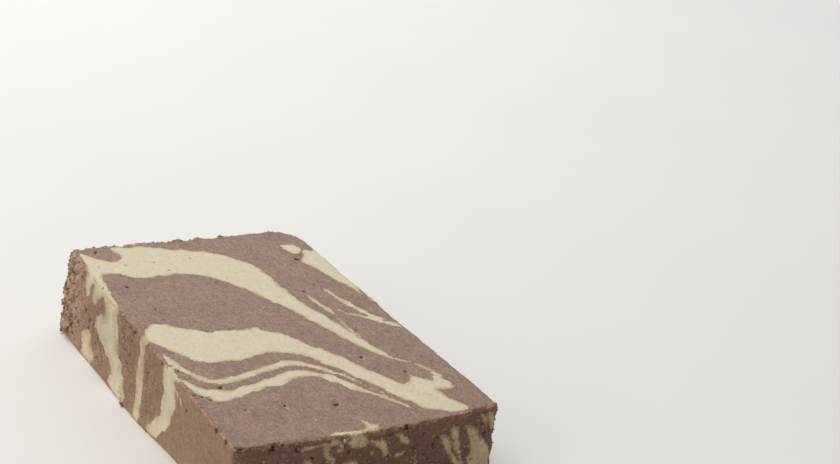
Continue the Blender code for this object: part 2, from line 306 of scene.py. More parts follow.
# The front end: place across the slice, and height
FRONT_PATCHES = (
    # the soft patch under the pale line along the rim
    ((-10, 29), (-9.6, 26.2), (-8.6, 24.2), (-7.4, 23), (-5.9, 22.7), (-3.1, 23), (-3.6, 25), (-4.2, 29)),
    # the large one at the right
    ((29, 22.9), (30.8, 22.3), (32.7, 21.4), (33.8, 20), (34.9, 18.3), (36.3, 17.2), (38, 15),
     (39.4, 13.3), (40.2, 11.1), (41.3, 8.3), (43, 4), (43, -3), (35.5, -3), (33.6, 4), (32.4, 9.6),
     (31.6, 12.2), (32.7, 14.4), (31.6, 16.4), (31.3, 18.3), (30.2, 20)),
)
FRONT_STREAKS = (
    ((-13, 27.8, 0.3), (-11, 27.6, 0.7), (-6, 27.4, 0.6), (-3, 27.4, 0.6), (-1, 27.5, 0.9),
     (0.4, 27.4, 0.4)),
    ((-3.4, 23.8, 0.3), (-1.2, 23.5, 0.4), (0.6, 23, 1.1), (2.2, 22.2, 1.1), (2.8, 20.5, 0.5),
     (2.7, 19.6, 0.7)),
    ((5.2, 25.3, 0.2), (6.9, 24.2, 0.4), (8.5, 22.8, 0.6), (9.7, 21.7, 0.4)),
    ((6.6, 18.2, 0.1), (7.8, 18.7, 0.4), (8.9, 19.2, 0.1)),
    ((11.5, 17.6, 0.1), (12.9, 16.7, 0.3), (12.8, 18.3, 0.1)),
    ((21.1, 20.9, 0.4), (22.2, 20, 0.9), (23.5, 17.9, 1.2), (24.8, 15.8, 0.9), (26.1, 13.9, 0.6),
     (27.3, 11.8, 0.9), (29, 8, 0.9), (30, 4, 0.5)),
    ((24.7, 23.4, 0.5), (25.4, 21.7, 0.9), (26.1, 19.4, 0.7), (26.9, 17.2, 0.9), (28, 15, 0.7),
     (28.6, 13.2, 0.25), (29.7, 10.8, 0.3)),
    ((33.8, 26.8, 0.1), (35.6, 24, 0.35), (36.7, 22.2, 0.1)),
    ((35.6, 28.5, 0.5), (37.4, 25.3, 0.75), (38.6, 23.3, 0.85), (39.2, 21.1, 0.6), (39.7, 19.2, 0.2)),
    ((-21.6, 24.3, 0.2), (-19.8, 25, 0.4), (-17.6, 25.6, 0.4), (-15.9, 25.1, 0.4), (-15.3, 24.2, 0.5),
     (-15, 22.3, 0.5), (-14.2, 21, 0.6), (-12.6, 19.6, 0.6)),
    ((-14.3, 26.5, 0.4), (-12.7, 25.5, 0.8), (-11.2, 24.7, 0.5)),
    ((-11.6, 22.7, 0.2), (-10.4, 22.9, 0.5)),
    ((-20.4, 20.6, 0.4), (-19.6, 20.2, 0.5)),
    ((-8.8, 18.2, 0.4), (-7, 18.1, 0.8), (-5.5, 17.6, 0.3)),
    ((-31, 14, 0.1), (-29, 10, 0.9), (-28, 5, 0.7), (-28.5, 1, 0.2)),
    ((-19, 9, 0.1), (-17, 6, 1.0), (-13, 3, 1.3), (-11, 0, 1.0)),
    ((8, 9, 0.1), (11, 6, 0.9), (13, 0, 0.8)),
)

# The right wall: place along the slice towards the back, and height
RIGHT_STREAKS = (
    ((45, 29, 5.0), (41, 20, 5.6), (37, 12, 5.2), (35, 4, 5.6), (36, -2, 5.4)),
    ((22, 29, 4.6), (20, 18, 3.2), (21, 10, 2.4), (24, 2, 1.8), (25, -2, 1.6)),
    ((8, 29, 1.2), (5, 18, 1.2), (3, 8, 1.0), (4, -2, 1.0)),
    ((-9, 29, 0.8), (-12, 16, 1.1), (-15, 5, 1.4), (-14, -2, 1.4)),
    ((-22, 24, 0.2), (-25, 14, 0.9), (-29, 5, 2.4), (-30, -2, 3.0)),
    ((-47, 25, 0.2), (-45, 16, 1.6), (-47, 8, 2.6), (-52, 0, 2.2)),
)

# The back end: place across the slice, and height
BACK_STREAKS = (
    ((-19, 29, 6.5), (-17, 20, 5.0), (-14, 12, 5.4), (-12, 5, 6.0), (-12, -2, 6.0)),
    ((4, 24, 0.2), (8, 15, 1.3), (10, 5, 1.1), (9, -2, 1.0)),
    ((28, 25, 0.2), (26, 17, 1.7), (24, 8, 2.3), (25, -2, 2.0)),
    ((-35, 16, 0.2), (-34, 9, 1.0), (-36, 2, 1.4)),
)

# The coarse crumb at the back end: how far it reaches along the walls, and how fast it fades out
COARSE_FROM = 24 * MM
COARSE_FADE = 16 * MM

# The underside is the upper face's marbling a slab further down, drifted sideways
UNDERSIDE_DRIFT = np.array([5.0, -7.0])
UNDERSIDE_WARP = 3.5
UNDERSIDE_WARP_LENGTH = 30.0

# Pits where an air bubble was cut or a crumb fell out: place on the slab in the marbling's
# millimetres with its height, and radius
PITS = (
    (-18.1, -44.7, 27, 0.9), (-4.4, -48.6, 27, 1.2), (-32, 34.7, 27, 1.0), (-29.5, 18.3, 27, 0.8),
    (-24, 15.3, 27, 0.5), (-33.9, -26, 27, 0.9), (-30.7, -30.7, 27, 1.1), (-38, -19, 27, 0.8),
    (-40.8, -18.7, 26, 0.8), (16.6, -26.1, 27, 1.0), (20.9, 18.3, 27, 0.9), (26.5, 21.8, 27, 0.7),
    (24.8, 12.3, 27, 0.7), (23.9, -10.1, 27, 0.7), (24.8, -37.7, 27, 0.9), (30.4, 41.4, 27, 1.3),
    (33, 44.3, 27, 0.6), (35, 46.5, 27, 0.6), (-35, 50, 27, 0.7), (-26.4, 49.5, 27, 0.7),
    (-17, 49.5, 27, 0.7), (-4.3, 50, 27, 0.8), (-14.6, 43, 27, 0.8), (-39.3, 36, 26.6, 0.8),
    (-40.6, 10.7, 26, 1.2), (-40.6, 7.3, 26, 1.1), (-40.5, -2, 26.3, 0.9), (-40.5, -12.3, 26, 1.1),
    (-39.2, -32.5, 27, 0.8), (-37.5, -34, 27, 0.8), (-36, -36, 27, 0.8), (-40.9, -50.2, 26.2, 1.2),
    (-40.9, -56, 26.2, 1.1), (-40.4, -29.9, 20.7, 1.1), (-40.8, 44.7, 15.2, 1.1), (-41, 49, 9, 1.1),
    (-41, 8.9, 12.2, 1.1), (-41, 3.6, 8.4, 0.8), (-40.4, -7.6, 22.2, 0.9), (-40.5, -4, 18.6, 0.8),
    (-40.3, -9, 13, 0.6), (-40.2, -34.9, 13.3, 0.7), (-40, -28.3, 11, 0.7), (-40, -35, 9, 0.7),
    (-39.2, -60.8, 26.4, 1.2), (-30.4, -62, 25.8, 1.2), (-23.4, -62.6, 24.6, 1.4), (8.8, -64.4, 26.7, 1.3),
    (-8.4, -64, 22, 0.8), (-19.1, -63.3, 21.7, 0.7), (17.4, -64.2, 15.1, 1.0), (18.6, -64.2, 20.8, 0.8),
    (36.9, -63.2, 18.9, 1.1), (14.7, -64.3, 23.3, 1.0), (8.3, -64.4, 19.4, 0.7),
)
PIT_DEPTH_SHARE = 0.75
PIT_RAGGED = 0.35
PIT_EDGE_SIZE = 0.9 * MM
HOLLOW_FULL = 0.50 * MM

# How likely a small pit is on the cut faces, and how much more so on the walls, at the back, in front and
# along the rims
PIT_CHANCES = (0.35, 0.4, 3.0, 1.6, 1.2)

# Single dark red crumbs: place in the marbling's millimetres with its height, and radius
RED_CRUMBS = (
    (-41.1, 10.7, 0.7, 0.7), (-41.1, 11.6, 0.5, 0.4), (-41.2, 9.8, 0.5, 0.35), (-32.7, 60.6, 27.0, 0.8),
    (-39.8, 59.5, 26.3, 0.6),
)
RED_TINT = 1.3
CHOCOLATE = -9.0

# The crumbs: how much darker the marbling field is in those at the back, and how far each one's own value
# strays from the field
BACK_CRUMB_BIAS = 2.5
CRUMB_FIELD_SPREAD = 0.4

# How uneven the points of a crumb are, and how much it is squashed or drawn out along each of its axes
CRUMB_UNEVEN = (0.78, 1.22)
CRUMB_STRETCH = (0.65, 1.15)

# How high a crumb's middle lies over the surface, and its least height over the table, in its own radii
CRUMB_LIFT = (-0.60, 0.20)
CRUMB_CLEARANCE = 1.3

# Powers that make most crumbs small and most of their tints dark
CRUMB_SIZE_POWER = 1.4
CRUMB_TINT_POWER = 1.1

# Where the camera stood, in the marbling's millimetres
CAMERA_PLACE = (-187.9, -329.8, 214.6)

# The lights: azimuth and elevation in degrees, distance and width in metres, and colour
LIGHTS = {
    "key": (-25, 52, 1.8, 1.1, (1.0, 0.985, 0.96)),
    "fill": (-100, 28, 1.8, 1.2, (1.0, 0.96, 0.90)),
    "sheen": (33, 37, 2.0, 1.6, (0.94, 0.97, 1.0)),
}
SKY_COLOUR = (1.0, 0.94, 0.87, 1.0)
FLOOR_REACH = 4.0


class HalvaSurface(bpy.types.PropertyGroup):
    """How fine the slice's surface is worked out, and how deep its fine relief goes."""

    step: FloatProperty(
        name="Step", description="Distance between the points of the cut faces",
        default=0.60 * MM, min=0.3 * MM, unit="LENGTH")
    grain: FloatProperty(
        name="Grain", description="Depth of the fine grain on the clean cuts",
        default=0.045 * MM, unit="LENGTH")
    streaks: FloatProperty(
        name="Drag marks", description="Depth of the upright marks that the knife left on the side walls",
        default=0.06 * MM, unit="LENGTH")
    tears: FloatProperty(
        name="Tears", description="Depth of the crumb where the front end was torn",
        default=0.26 * MM, unit="LENGTH")
    crumble: FloatProperty(
        name="Crumble", description="Depth of the crumb at the crumbly back end",
        default=0.80 * MM, unit="LENGTH")
    pits: IntProperty(
        name="Small pits", description="Number of small pits strewn over the faces", default=100, min=0)
    pit_size: FloatProperty(
        name="Pit size", description="Radius of the largest of the small pits",
        default=0.75 * MM, unit="LENGTH")


class HalvaCrumbs(bpy.types.PropertyGroup):
    """How many crumbs cling to the slice, and how large they are."""

    rim_count: IntProperty(
        name="Rim crumbs", description="Number of crumbs along the rims", default=1500, min=0)
    wall_count: IntProperty(
        name="Wall crumbs", description="Number of crumbs on the torn walls", default=2600, min=0)
    smallest: FloatProperty(
        name="Smallest", description="Radius of the smallest crumb", default=0.16 * MM, unit="LENGTH")
    largest: FloatProperty(
        name="Largest", description="Radius of the largest crumb", default=1.0 * MM, unit="LENGTH")


class HalvaColours(bpy.types.PropertyGroup):
    """The colours of the two pastes and of the crumbs, and of the shade and light painted on them."""

    chocolate: FloatVectorProperty(
        name="Chocolate", description="The dark paste on a clean cut", subtype="COLOR", min=0, max=1,
        default=(0.272, 0.169, 0.119))
    chocolate_deep: FloatVectorProperty(
        name="Deep chocolate", description="The dark paste where it is richest", subtype="COLOR", min=0,
        max=1, default=(0.206, 0.124, 0.083))
    pale: FloatVectorProperty(
        name="Pale", description="The pale sesame paste", subtype="COLOR", min=0, max=1,
        default=(0.612, 0.540, 0.390))
    pale_amber: FloatVectorProperty(
        name="Amber", description="The pale paste where it is oily or thin", subtype="COLOR", min=0,
        max=1, default=(0.470, 0.345, 0.190))
    # Painted shade: the pits, pores and crevices are painted dark, with this colour in the dark paste and
    # the next in the pale one
    chocolate_pit_shade: FloatVectorProperty(
        name="Chocolate pit", description="The floor of a pit in the dark paste", subtype="COLOR", min=0,
        max=1, default=(0.062, 0.025, 0.015))
    pale_pit_shade: FloatVectorProperty(
        name="Pale pit", description="The floor of a pit in the pale paste", subtype="COLOR", min=0,
        max=1, default=(0.300, 0.205, 0.090))
    # A painted highlight: the dark paste is painted this lighter tan in spots along the upper rim
    rim_highlight: FloatVectorProperty(
        name="Rim", description="The dark paste where it is rubbed along a rim", subtype="COLOR", min=0,
        max=1, default=(0.400, 0.225, 0.135))
    # Painted shade: the dark paste is made darker and warmer on the side walls, for the dimmer, warmer light
    # there
    wall_shade_tint: FloatVectorProperty(
        name="Wall warmth", description="What the dark paste is multiplied by on the side walls",
        subtype="COLOR", min=0, max=2, default=(0.99, 0.905, 0.75))
    # Painted shade: the dark paste on the front end, which faces away from the lights, is made much darker
    # and warmer
    front_shade_tint: FloatVectorProperty(
        name="Torn warmth", description="What the dark paste is multiplied by on the torn front end",
        subtype="COLOR", min=0, max=2, default=(0.76, 0.58, 0.55))
    # Painted light: the pale paste on the shaded front end is tinted warmer
    front_light_tint: FloatVectorProperty(
        name="Torn glow", description="What the pale paste is multiplied by on the torn front end",
        subtype="COLOR", min=0, max=2, default=(1.06, 1.02, 0.88))
    speck: FloatVectorProperty(
        name="Speck", description="The light specks in the grain of the dark paste", subtype="COLOR",
        min=0, max=1, default=(0.425, 0.312, 0.265))
    # Painted light: the front part of the left wall is painted this lighter colour, as if lit by the floor
    # beside it
    burnished: FloatVectorProperty(
        name="Burnished", description="The dark paste on the side wall where the knife smoothed it",
        subtype="COLOR", min=0, max=1, default=(0.325, 0.197, 0.122))
    # The same colour is also painted light on the lower walls, as if bounced up from the floor
    smear_and_bounce_tan: FloatVectorProperty(
        name="Smear", description="The dark paste under a thin film of the pale one", subtype="COLOR",
        min=0, max=1, default=(0.385, 0.253, 0.142))
    foot_orange: FloatVectorProperty(
        name="Foot", description="The oily paste along the foot of the walls", subtype="COLOR", min=0,
        max=1, default=(0.420, 0.215, 0.085))
    # Also the painted highlight on the crests of the coarse crumb at the back end
    crumb_tan_and_crest_light: FloatVectorProperty(
        name="Tan crumb", description="The lightest crumbs of the dark paste", subtype="COLOR", min=0,
        max=1, default=(0.505, 0.328, 0.214))
    crumb_red: FloatVectorProperty(
        name="Crumb", description="The darkest, reddish crumbs", subtype="COLOR", min=0, max=1,
        default=(0.190, 0.062, 0.026))
    crumb_orange: FloatVectorProperty(
        name="Orange crumb", description="The few oily orange crumbs", subtype="COLOR", min=0, max=1,
        default=(0.300, 0.090, 0.032))


class HalvaStage(bpy.types.PropertyGroup):
    """The camera, the lights and the floor."""

    lens: FloatProperty(
        name="Lens", description="Focal length, in millimetres on a sensor 36 mm wide", default=60.0)
    azimuth: FloatProperty(
        name="Azimuth", description="How far the camera looks to the right of +Y",
        default=radians(35.68), subtype="ANGLE")
    elevation: FloatProperty(
        name="Elevation", description="How far the camera looks down", default=radians(21.74),
        subtype="ANGLE")
    roll: FloatProperty(
        name="Roll", description="How far the camera is turned about its own axis",
        default=radians(9.24), subtype="ANGLE")
    key: FloatProperty(
        name="Key light", description="Power of the soft light from behind on the left", default=24.4,
        subtype="POWER")
    fill: FloatProperty(
        name="Fill light", description="Power of the soft light from the left", default=7.6,
        subtype="POWER")
    sheen: FloatProperty(
        name="Sheen light", description="Power of the low light behind, whose gloss lies on the upper face",
        default=12.0, subtype="POWER")
    ambient: FloatProperty(
        name="Ambient", description="Strength of the even light from all round", default=0.25)
    floor: FloatVectorProperty(
        name="Floor", description="Colour of the pale floor", subtype="COLOR", min=0, max=1,
        default=(0.80, 0.79, 0.78))


def fade(share):
    """0 at or below 0, 1 at or above 1, and a smooth S between."""
    share = np.clip(share, 0.0, 1.0)
    return share * share * (3.0 - 2.0 * share)


def smooth_noise(points, size, seed):
    """Random values from -1 to 1 at the corners of cubes of this size, blended smoothly in between."""
    table = np.random.default_rng(seed).uniform(-1.0, 1.0, (NOISE_PERIOD,) * 3)
    place = points / size
    corner = np.floor(place).astype(int)
    share = fade(place - corner)
    total = np.zeros(len(points))
    for step in itertools.product((0, 1), repeat=3):
        weight = np.prod(np.where(step, share, 1.0 - share), axis=1)
        total += weight * table[tuple(((corner + step) % NOISE_PERIOD).T)]
    return total


def lumps(points, size, seed):
    """Rounded lumps, one for each cube of this size: 1 at a lump's middle and 0 in the gaps between them."""
    spots = np.random.default_rng(seed).uniform(0.0, 1.0, (LUMP_PERIOD,) * 3 + (3,))
    place = points / size
    corner = np.floor(place).astype(int)
    nearest = np.full(len(points), 2.0)
    for step in itertools.product((-1, 0, 1), repeat=3):
        cell = corner + step
        spot = cell + spots[tuple((cell % LUMP_PERIOD).T)]
        nearest = np.minimum(nearest, np.linalg.norm(spot - place, axis=1))
    return np.clip(1.0 - nearest, 0.0, 1.0)


def corner_radius(plan):
    """The rounding, seen from above, of the corner in whose quarter of the slice each point lies."""
    right = plan[:, 0] > 0
    back = plan[:, 1] > 0
    back_ones = np.where(right, BACK_RIGHT_CORNER, BACK_LEFT_CORNER)
    front_ones = np.where(right, FRONT_RIGHT_CORNER, FRONT_LEFT_CORNER)
    return np.where(back, back_ones, front_ones)


def round_corners(plan):
    """Moves square corners to round ones. Returns the new plan points and the way out of each one."""
    radius = corner_radius(plan)[:, None]
    side = np.where(plan < 0, -1.0, 1.0)
    inside = HALF - np.abs(plan)
    past = np.clip(radius - inside, 0.0, None)
    length = np.linalg.norm(past, axis=1, keepdims=True)
    in_corner = (past > 0).all(axis=1, keepdims=True)
    safe = np.where(length > 0, length, 1.0)
    rounded = past * past.max(axis=1, keepdims=True) / safe
    moved = np.where(in_corner, side * (HALF - radius + rounded), plan)
    nearest_side = side * (inside == inside.min(axis=1, keepdims=True))
    out = np.where(in_corner, side * past / safe, nearest_side)
    return moved, out / np.linalg.norm(out, axis=1, keepdims=True)


def rim_radius(points):
    """The rounding of the upper rim: small on clean cuts, larger at the worn left edge and in the chips."""
    x, y = points[:, 0], points[:, 1]
    radius = np.full(len(points), RIM_RADIUS)
    radius += BACK_RIM_EXTRA * fade((y - HALF[1] + WALL_REACH) / WALL_REACH)
    along_worn = fade((y - WORN_RIM_FROM) / WALL_REACH) * fade((WORN_RIM_TO - y) / WALL_REACH)
    radius += WORN_RIM_EXTRA * along_worn * fade((-x - HALF[0] + WALL_REACH) / WALL_REACH)
    ridge = np.column_stack([x, y, np.zeros(len(points))])
    chips = np.clip(smooth_noise(ridge, CHIP_LENGTH, seed=11) - 0.15, 0.0, 1.0)
    return np.minimum(radius + CHIP_DEPTH * chips, 0.9 * corner_radius(points[:, :2]))


def lean_and_wave(points):
    """How far the walls stand out of the square slab, as a shift in plan: they lean and wave, the side walls
    flare towards the front, where the left one is undercut, and the front end bulges and is cut askew."""
    x, y, z = points.T
    low = 1.0 - z / THICKNESS
    wave_x = OUTLINE_WAVE * smooth_noise(points, OUTLINE_WAVE_LENGTH, seed=21)
    wave_y = OUTLINE_WAVE * smooth_noise(points, OUTLINE_WAVE_LENGTH, seed=22)
    left = LEFT_LEAN * fade((y + HALF[1]) / LENGTH)
    left -= LEFT_UNDERCUT * fade((UNDERCUT_FROM - y) / UNDERCUT_LENGTH)
    back = BACK_LEAN * low ** 0.7 * (y > 0) * fade((HALF[0] - x) / WIDTH + 0.35)
    reach_x = fade(1.0 - (HALF[0] - np.abs(x)) / WALL_REACH)
    reach_y = fade(1.0 - (HALF[1] - np.abs(y)) / WALL_REACH)
    flare = np.where(x < 0, LEFT_FLARE, RIGHT_FLARE * (1.0 + low)) * fade(-y / HALF[1])
    across = x / HALF[0]
    front = (FRONT_SKEW * across + FRONT_BULGE * (1.0 - across ** 2)) * (y < 0)
    shift_x = np.sign(x) * reach_x * (wave_x + left * low * (x < 0) + flare)
    shift_y = np.sign(y) * reach_y * (wave_y + back + front)
    return np.column_stack([shift_x, shift_y])


def torn_shares(points):
    """How much of the torn front and of the crumbly back end each point has, both from 0 to 1."""
    x, y = points[:, 0], points[:, 1]
    at_front = fade((-y - HALF[1] + FRONT_LEFT_CORNER) / FRONT_LEFT_CORNER)
    at_back = fade((y - HALF[1] + CRUMBLY_END) / CRUMBLY_END) * fade((HALF[0] * 1.3 - x) / HALF[0])
    return at_front, at_back


def relief_depth(points):
    """How rough the wall is: a clean cut at the left and right, torn in front and crumbly at the back."""
    at_front, at_back = torn_shares(points)
    depth = CUT_RELIEF + (TORN_RELIEF - CUT_RELIEF) * at_front
    return depth + (CRUMBLY_RELIEF - depth) * at_back


def relief(points):
    """The crags and lumps of the walls, in metres outwards."""
    crags = smooth_noise(points, CRAG_SIZE, seed=31) + 0.5 * smooth_noise(points, CRAG_SIZE / 2, seed=32)
    bumps = LUMP_SHARE * (lumps(points, LUMP_SIZE, seed=33) - 0.35)
    calm_foot = fade(points[:, 2] / FOOT_CALM)
    return relief_depth(points) * calm_foot * (0.6 * crags + bumps)


def slice_surface(points):
    """Moves points of the square slab's surface to the real slice: rounded, leaning, wavy and crumbly.

    Near a rim, a point at a distance in from the edge and a distance down from the face goes onto a
    quarter circle. All the rest is a shift outwards, which fades out towards the middle of the faces.
    """
    x, y, z = points.T
    plan, out = round_corners(points[:, :2])
    inset = np.minimum(HALF[0] - np.abs(x), HALF[1] - np.abs(y))
    upper = z > THICKNESS / 2
    radius = np.where(upper, rim_radius(points), FOOT_RADIUS)
    drop = np.where(upper, THICKNESS - z, z)
    past_edge = np.clip(radius - inset, 0.0, None)
    past_face = np.clip(radius - drop, 0.0, None)
    reach = np.hypot(past_edge, past_face)
    rounded = (past_edge > 0) & (past_face > 0)
    factor = np.where(rounded, radius / np.where(reach > 0, reach, 1.0), 1.0)
    new_inset = np.where(rounded, radius - past_edge * factor, inset)
    new_drop = np.where(rounded, radius - past_face * factor, drop)
    plan = plan - out * (new_inset - inset)[:, None]
    height = np.where(upper, THICKNESS - new_drop, new_drop)

    on_face = (drop <= 0) & (past_edge <= 0)
    sideways = np.where(on_face, 0.0, np.where(rounded, past_edge * factor / radius, 1.0))
    upwards = np.where(rounded & upper, sideways * past_face * factor / radius, 0.0)
    push = np.where(on_face, 0.0, relief(points))
    plan = plan + lean_and_wave(points) + out * (sideways * push)[:, None]
    return np.column_stack([plan, height + upwards * push])


def lattice_lines(length, step):
    """Places along one side of the slab, from 0 to its length: close together at both ends, and a step
    apart between them."""
    near = RIM_STEPS[-1]
    middle = np.linspace(near, length - near, round((length - 2 * near) / step) + 1)
    edge = np.concatenate([[0.0], RIM_STEPS[:-1]])
    return np.concatenate([edge, middle, length - edge[::-1]])


def slab_lattice(step):
    """The slab's surface: a lattice of points on its six faces, which share their edges, and its quads."""
    lines = [lattice_lines(size, step) for size in (WIDTH, LENGTH, THICKNESS)]
    shape = tuple(len(line) for line in lines)
    shell = np.ones(shape, bool)
    shell[1:-1, 1:-1, 1:-1] = False
    number = np.full(shape, -1)
    number[shell] = np.arange(shell.sum())
    points = np.stack(np.meshgrid(*lines, indexing="ij"), axis=-1)[shell] - [*HALF, 0.0]
    quads = []
    for axis, end in itertools.product(range(3), (0, -1)):
        sheet = np.take(number, end, axis=axis)
        corners = [sheet[:-1, :-1], sheet[1:, :-1], sheet[1:, 1:], sheet[:-1, 1:]]
        if (end == 0) != (axis == 1):
            corners.reverse()
        quads.append(np.stack(corners, axis=-1).reshape(-1, 4))
    return points, np.concatenate(quads)


def placing_shift():
    """The shift in plan from the slab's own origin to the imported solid's frame, which puts the middle of
    one's box on the middle of the other's."""
    form = slice_surface(slab_lattice(PLACING_STEP)[0])
    low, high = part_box(NODE)
    middle = (np.array(low) + np.array(high)) / 2
    shift = middle - (form.min(axis=0) + form.max(axis=0)) / 2
    return np.array([shift[0], shift[1], 0.0])


def curved(stations, closed=False):
    """More places between the stations, on the smooth curve through them: each stretch leaves one station
    and reaches the next along the line between the stations on either side."""
    line = np.array(stations, float)
    before, after = (line[-1:], line[:2]) if closed else (line[:1], line[-1:])
    padded = np.concatenate([before, line, after])
    share = np.linspace(0.0, 1.0, CURVE_STEPS, endpoint=False)[:, None]
    pieces = []
    for a, b, c, d in zip(padded, padded[1:], padded[2:], padded[3:]):
        bend = (2 * a - 5 * b + 4 * c - d) * share ** 2 + (3 * b - a - 3 * c + d) * share ** 3
        pieces.append(b + ((c - a) * share + bend) / 2)
    return np.concatenate(pieces + [line[:1] if closed else line[-1:]])


def to_stretch(plan, start, end):
    """How far along the stretch from start to end the nearest place to each point is, and how far away."""
    along = end[:2] - start[:2]
    share = np.clip((plan - start[:2]) @ along / (along @ along), 0.0, 1.0)
    gap = plan - start[:2] - share[:, None] * along
    return share, np.hypot(gap[:, 0], gap[:, 1])


def streak(plan, stations):
    """How far inside a streak each point lies: its half-width at the nearest place, less the distance to
    that place."""
    best = np.full(len(plan), -FAR)
    for start, end in itertools.pairwise(curved(stations)):
        share, distance = to_stretch(plan, start, end)
        best = np.maximum(best, start[2] + share * (end[2] - start[2]) - distance)
    return best


def patch(plan, outline):
    """How far inside a closed outline each point lies: the distance to it, below zero outside."""
    nearest = np.full(len(plan), FAR)
    inside = np.zeros(len(plan), bool)
    for start, end in itertools.pairwise(curved(outline, closed=True)):
        nearest = np.minimum(nearest, to_stretch(plan, start, end)[1])
        crosses = (start[1] > plan[:, 1]) != (end[1] > plan[:, 1])
        rise = end[1] - start[1]
        level = (plan[:, 1] - start[1]) / (rise if rise else 1.0)
        inside ^= crosses & (plan[:, 0] < start[0] + level * (end[0] - start[0]))
    return np.where(inside, nearest, -nearest)


def chart(plan, patches, streaks):
    """The marbling on one face, in millimetres: above zero in the pale paste, below it in the chocolate."""
    fields = [patch(plan, outline) for outline in patches]
    fields += [streak(plan, stations) for stations in streaks]
    return np.max(fields, axis=0)


def drifted(plan):
    """Where each place of the underside lies on the upper face's chart: drifted, and bent by slow noise."""
    flat = np.column_stack([plan, np.zeros(len(plan))])
    bend = [smooth_noise(flat, UNDERSIDE_WARP_LENGTH, seed) for seed in (41, 42)]
    return plan + UNDERSIDE_DRIFT + UNDERSIDE_WARP * np.stack(bend, axis=1)


def marbling(slab, form):
    """The marbling field, in millimetres, at points of the slab that lie at these places on the slice.

    Each face has its own chart. A point's value is the mean of the charts, and a chart's weight falls from
    1 on its own face to 0 a short way off, so that the bands run on over the rims.
    """
    place = slab / MM
    x, y = (form[:, :2] / MM - MARBLE_ORIGIN).T
    z = place[:, 2]
    half_x, half_y = HALF / MM
    faces = (
        (THICKNESS / MM - z, (x, y), TOP_PATCHES, TOP_STREAKS),
        (place[:, 0] + half_x, (-y, z), LEFT_PATCHES, LEFT_STREAKS),
        (place[:, 1] + half_y, (x, z), FRONT_PATCHES, FRONT_STREAKS),
        (half_x - place[:, 0], (y, z), (), RIGHT_STREAKS),
        (half_y - place[:, 1], (x, z), (), BACK_STREAKS),
        (z, drifted(np.column_stack([x, y])).T, TOP_PATCHES, TOP_STREAKS),
    )
    total = np.zeros(len(slab))
    weights = np.zeros(len(slab))
    for distance, plan, patches, streaks in faces:
        weight = np.clip(1.0 - distance / CHART_REACH, 0.0, 1.0)
        rows = weight > 0
        total[rows] += weight[rows] * chart(np.column_stack(plan)[rows], patches, streaks)
        weights += weight
    return total / weights


def on_walls(slab):
    """1 on the walls and 0 on the two broad faces, with a short slope at the rims."""
    inset = (HALF - np.abs(slab[:, :2])).min(axis=1)
    return fade(1.0 - inset / (2 * RIM_RADIUS))


def near_rims(slab):
    """1 on the upper rim, falling to 0 at the edge of a narrow band along it."""
    inset = (HALF - np.abs(slab[:, :2])).min(axis=1)
    drop = THICKNESS - slab[:, 2]
    return fade(1.0 - np.hypot(inset, drop) / RIM_BAND)


def crumb_shares(slab):
    """How much torn crumb each point has at the front, and how much coarse crumb at the back."""
    x, y = slab[:, 0], slab[:, 1]
    at_front = torn_shares(slab)[0]
    at_back = fade((y - HALF[1] + COARSE_FROM) / COARSE_FADE) * fade((HALF[0] * 1.3 - x) / HALF[0])
    return at_front, at_back


def noise_layers(points, layers):
    """The sum of smooth noises, each with its own size, squeeze of the heights, share and seed."""
    total = np.zeros(len(points))
    for size, squeeze, share, seed in layers:
        total += share * smooth_noise(points * [1.0, 1.0, squeeze], size, seed)
    return total


def fine_relief(slab, surface):
    """The fine relief, in metres outwards: grain all over, upright drag marks on the side walls, torn
    crumb at the front, and coarse crumb at the back. The second result is the height of the coarse crumb
    alone, as a share of its greatest."""
    at_front, at_back = crumb_shares(slab)
    wall = on_walls(slab)
    rims = near_rims(slab)
    calm_foot = fade(slab[:, 2] / FOOT_CALM)
    grain = surface.grain * noise_layers(slab, CLEAN_GRAIN)
    marks = noise_layers(slab, DRAG_MARKS)
    marks *= surface.streaks * wall * (1.0 - at_front) * (1.0 - at_back)
    tears = noise_layers(slab, TORN_CRUMB)
    tears *= surface.tears * (wall + rims) * at_front
    crumble = noise_layers(slab, COARSE_CRUMB)
    for size, share, seed in COARSE_LUMPS:
        crumble += share * (lumps(slab, size, seed) - LUMP_MEAN)
    crest = np.clip(crumble, -1.0, 1.0)
    crumble *= surface.crumble * wall * at_back * (1.0 - 0.4 * rims)
    return (grain + marks + tears + crumble) * calm_foot, crest


def read_places(rows):
    """Rows in the marbling's millimetres, as metres from the slab's own origin."""
    places = np.array(rows, float)
    places[..., :2] += MARBLE_ORIGIN
    return places * MM


def strewn_pits(slab, form, surface, generator):
    """Small pits at random points of the slab, more of them on the walls and rims than on the cut faces."""
    at_front, at_back = torn_shares(slab)
    wall = on_walls(slab)
    on_cut, on_wall, back, front, rim = PIT_CHANCES
    chance = on_cut + wall * (on_wall + back * at_back + front * at_front) + rim * near_rims(slab)
    chance *= slab[:, 2] > FOOT_CALM
    rows = generator.choice(len(slab), surface.pits, replace=False, p=chance / chance.sum())
    sizes = surface.pit_size * generator.uniform(0.4, 1.0, surface.pits) ** 1.5
    return np.column_stack([form[rows], sizes])


def pit_depths(slab, form, surface):
    """The depth of the pits at each point: bowls with a ragged edge, each a share of its radius deep."""
    strewn = strewn_pits(slab, form, surface, np.random.default_rng(61))
    ragged = 1.0 + PIT_RAGGED * smooth_noise(slab, PIT_EDGE_SIZE, seed=62)
    depth = np.zeros(len(slab))
    for x, y, z, radius in np.concatenate([read_places(PITS), strewn]):
        share = np.linalg.norm(form - (x, y, z), axis=1) * ragged / radius
        bowl = PIT_DEPTH_SHARE * radius * (1.0 - fade(share))
        depth = np.maximum(depth, bowl)
    return depth


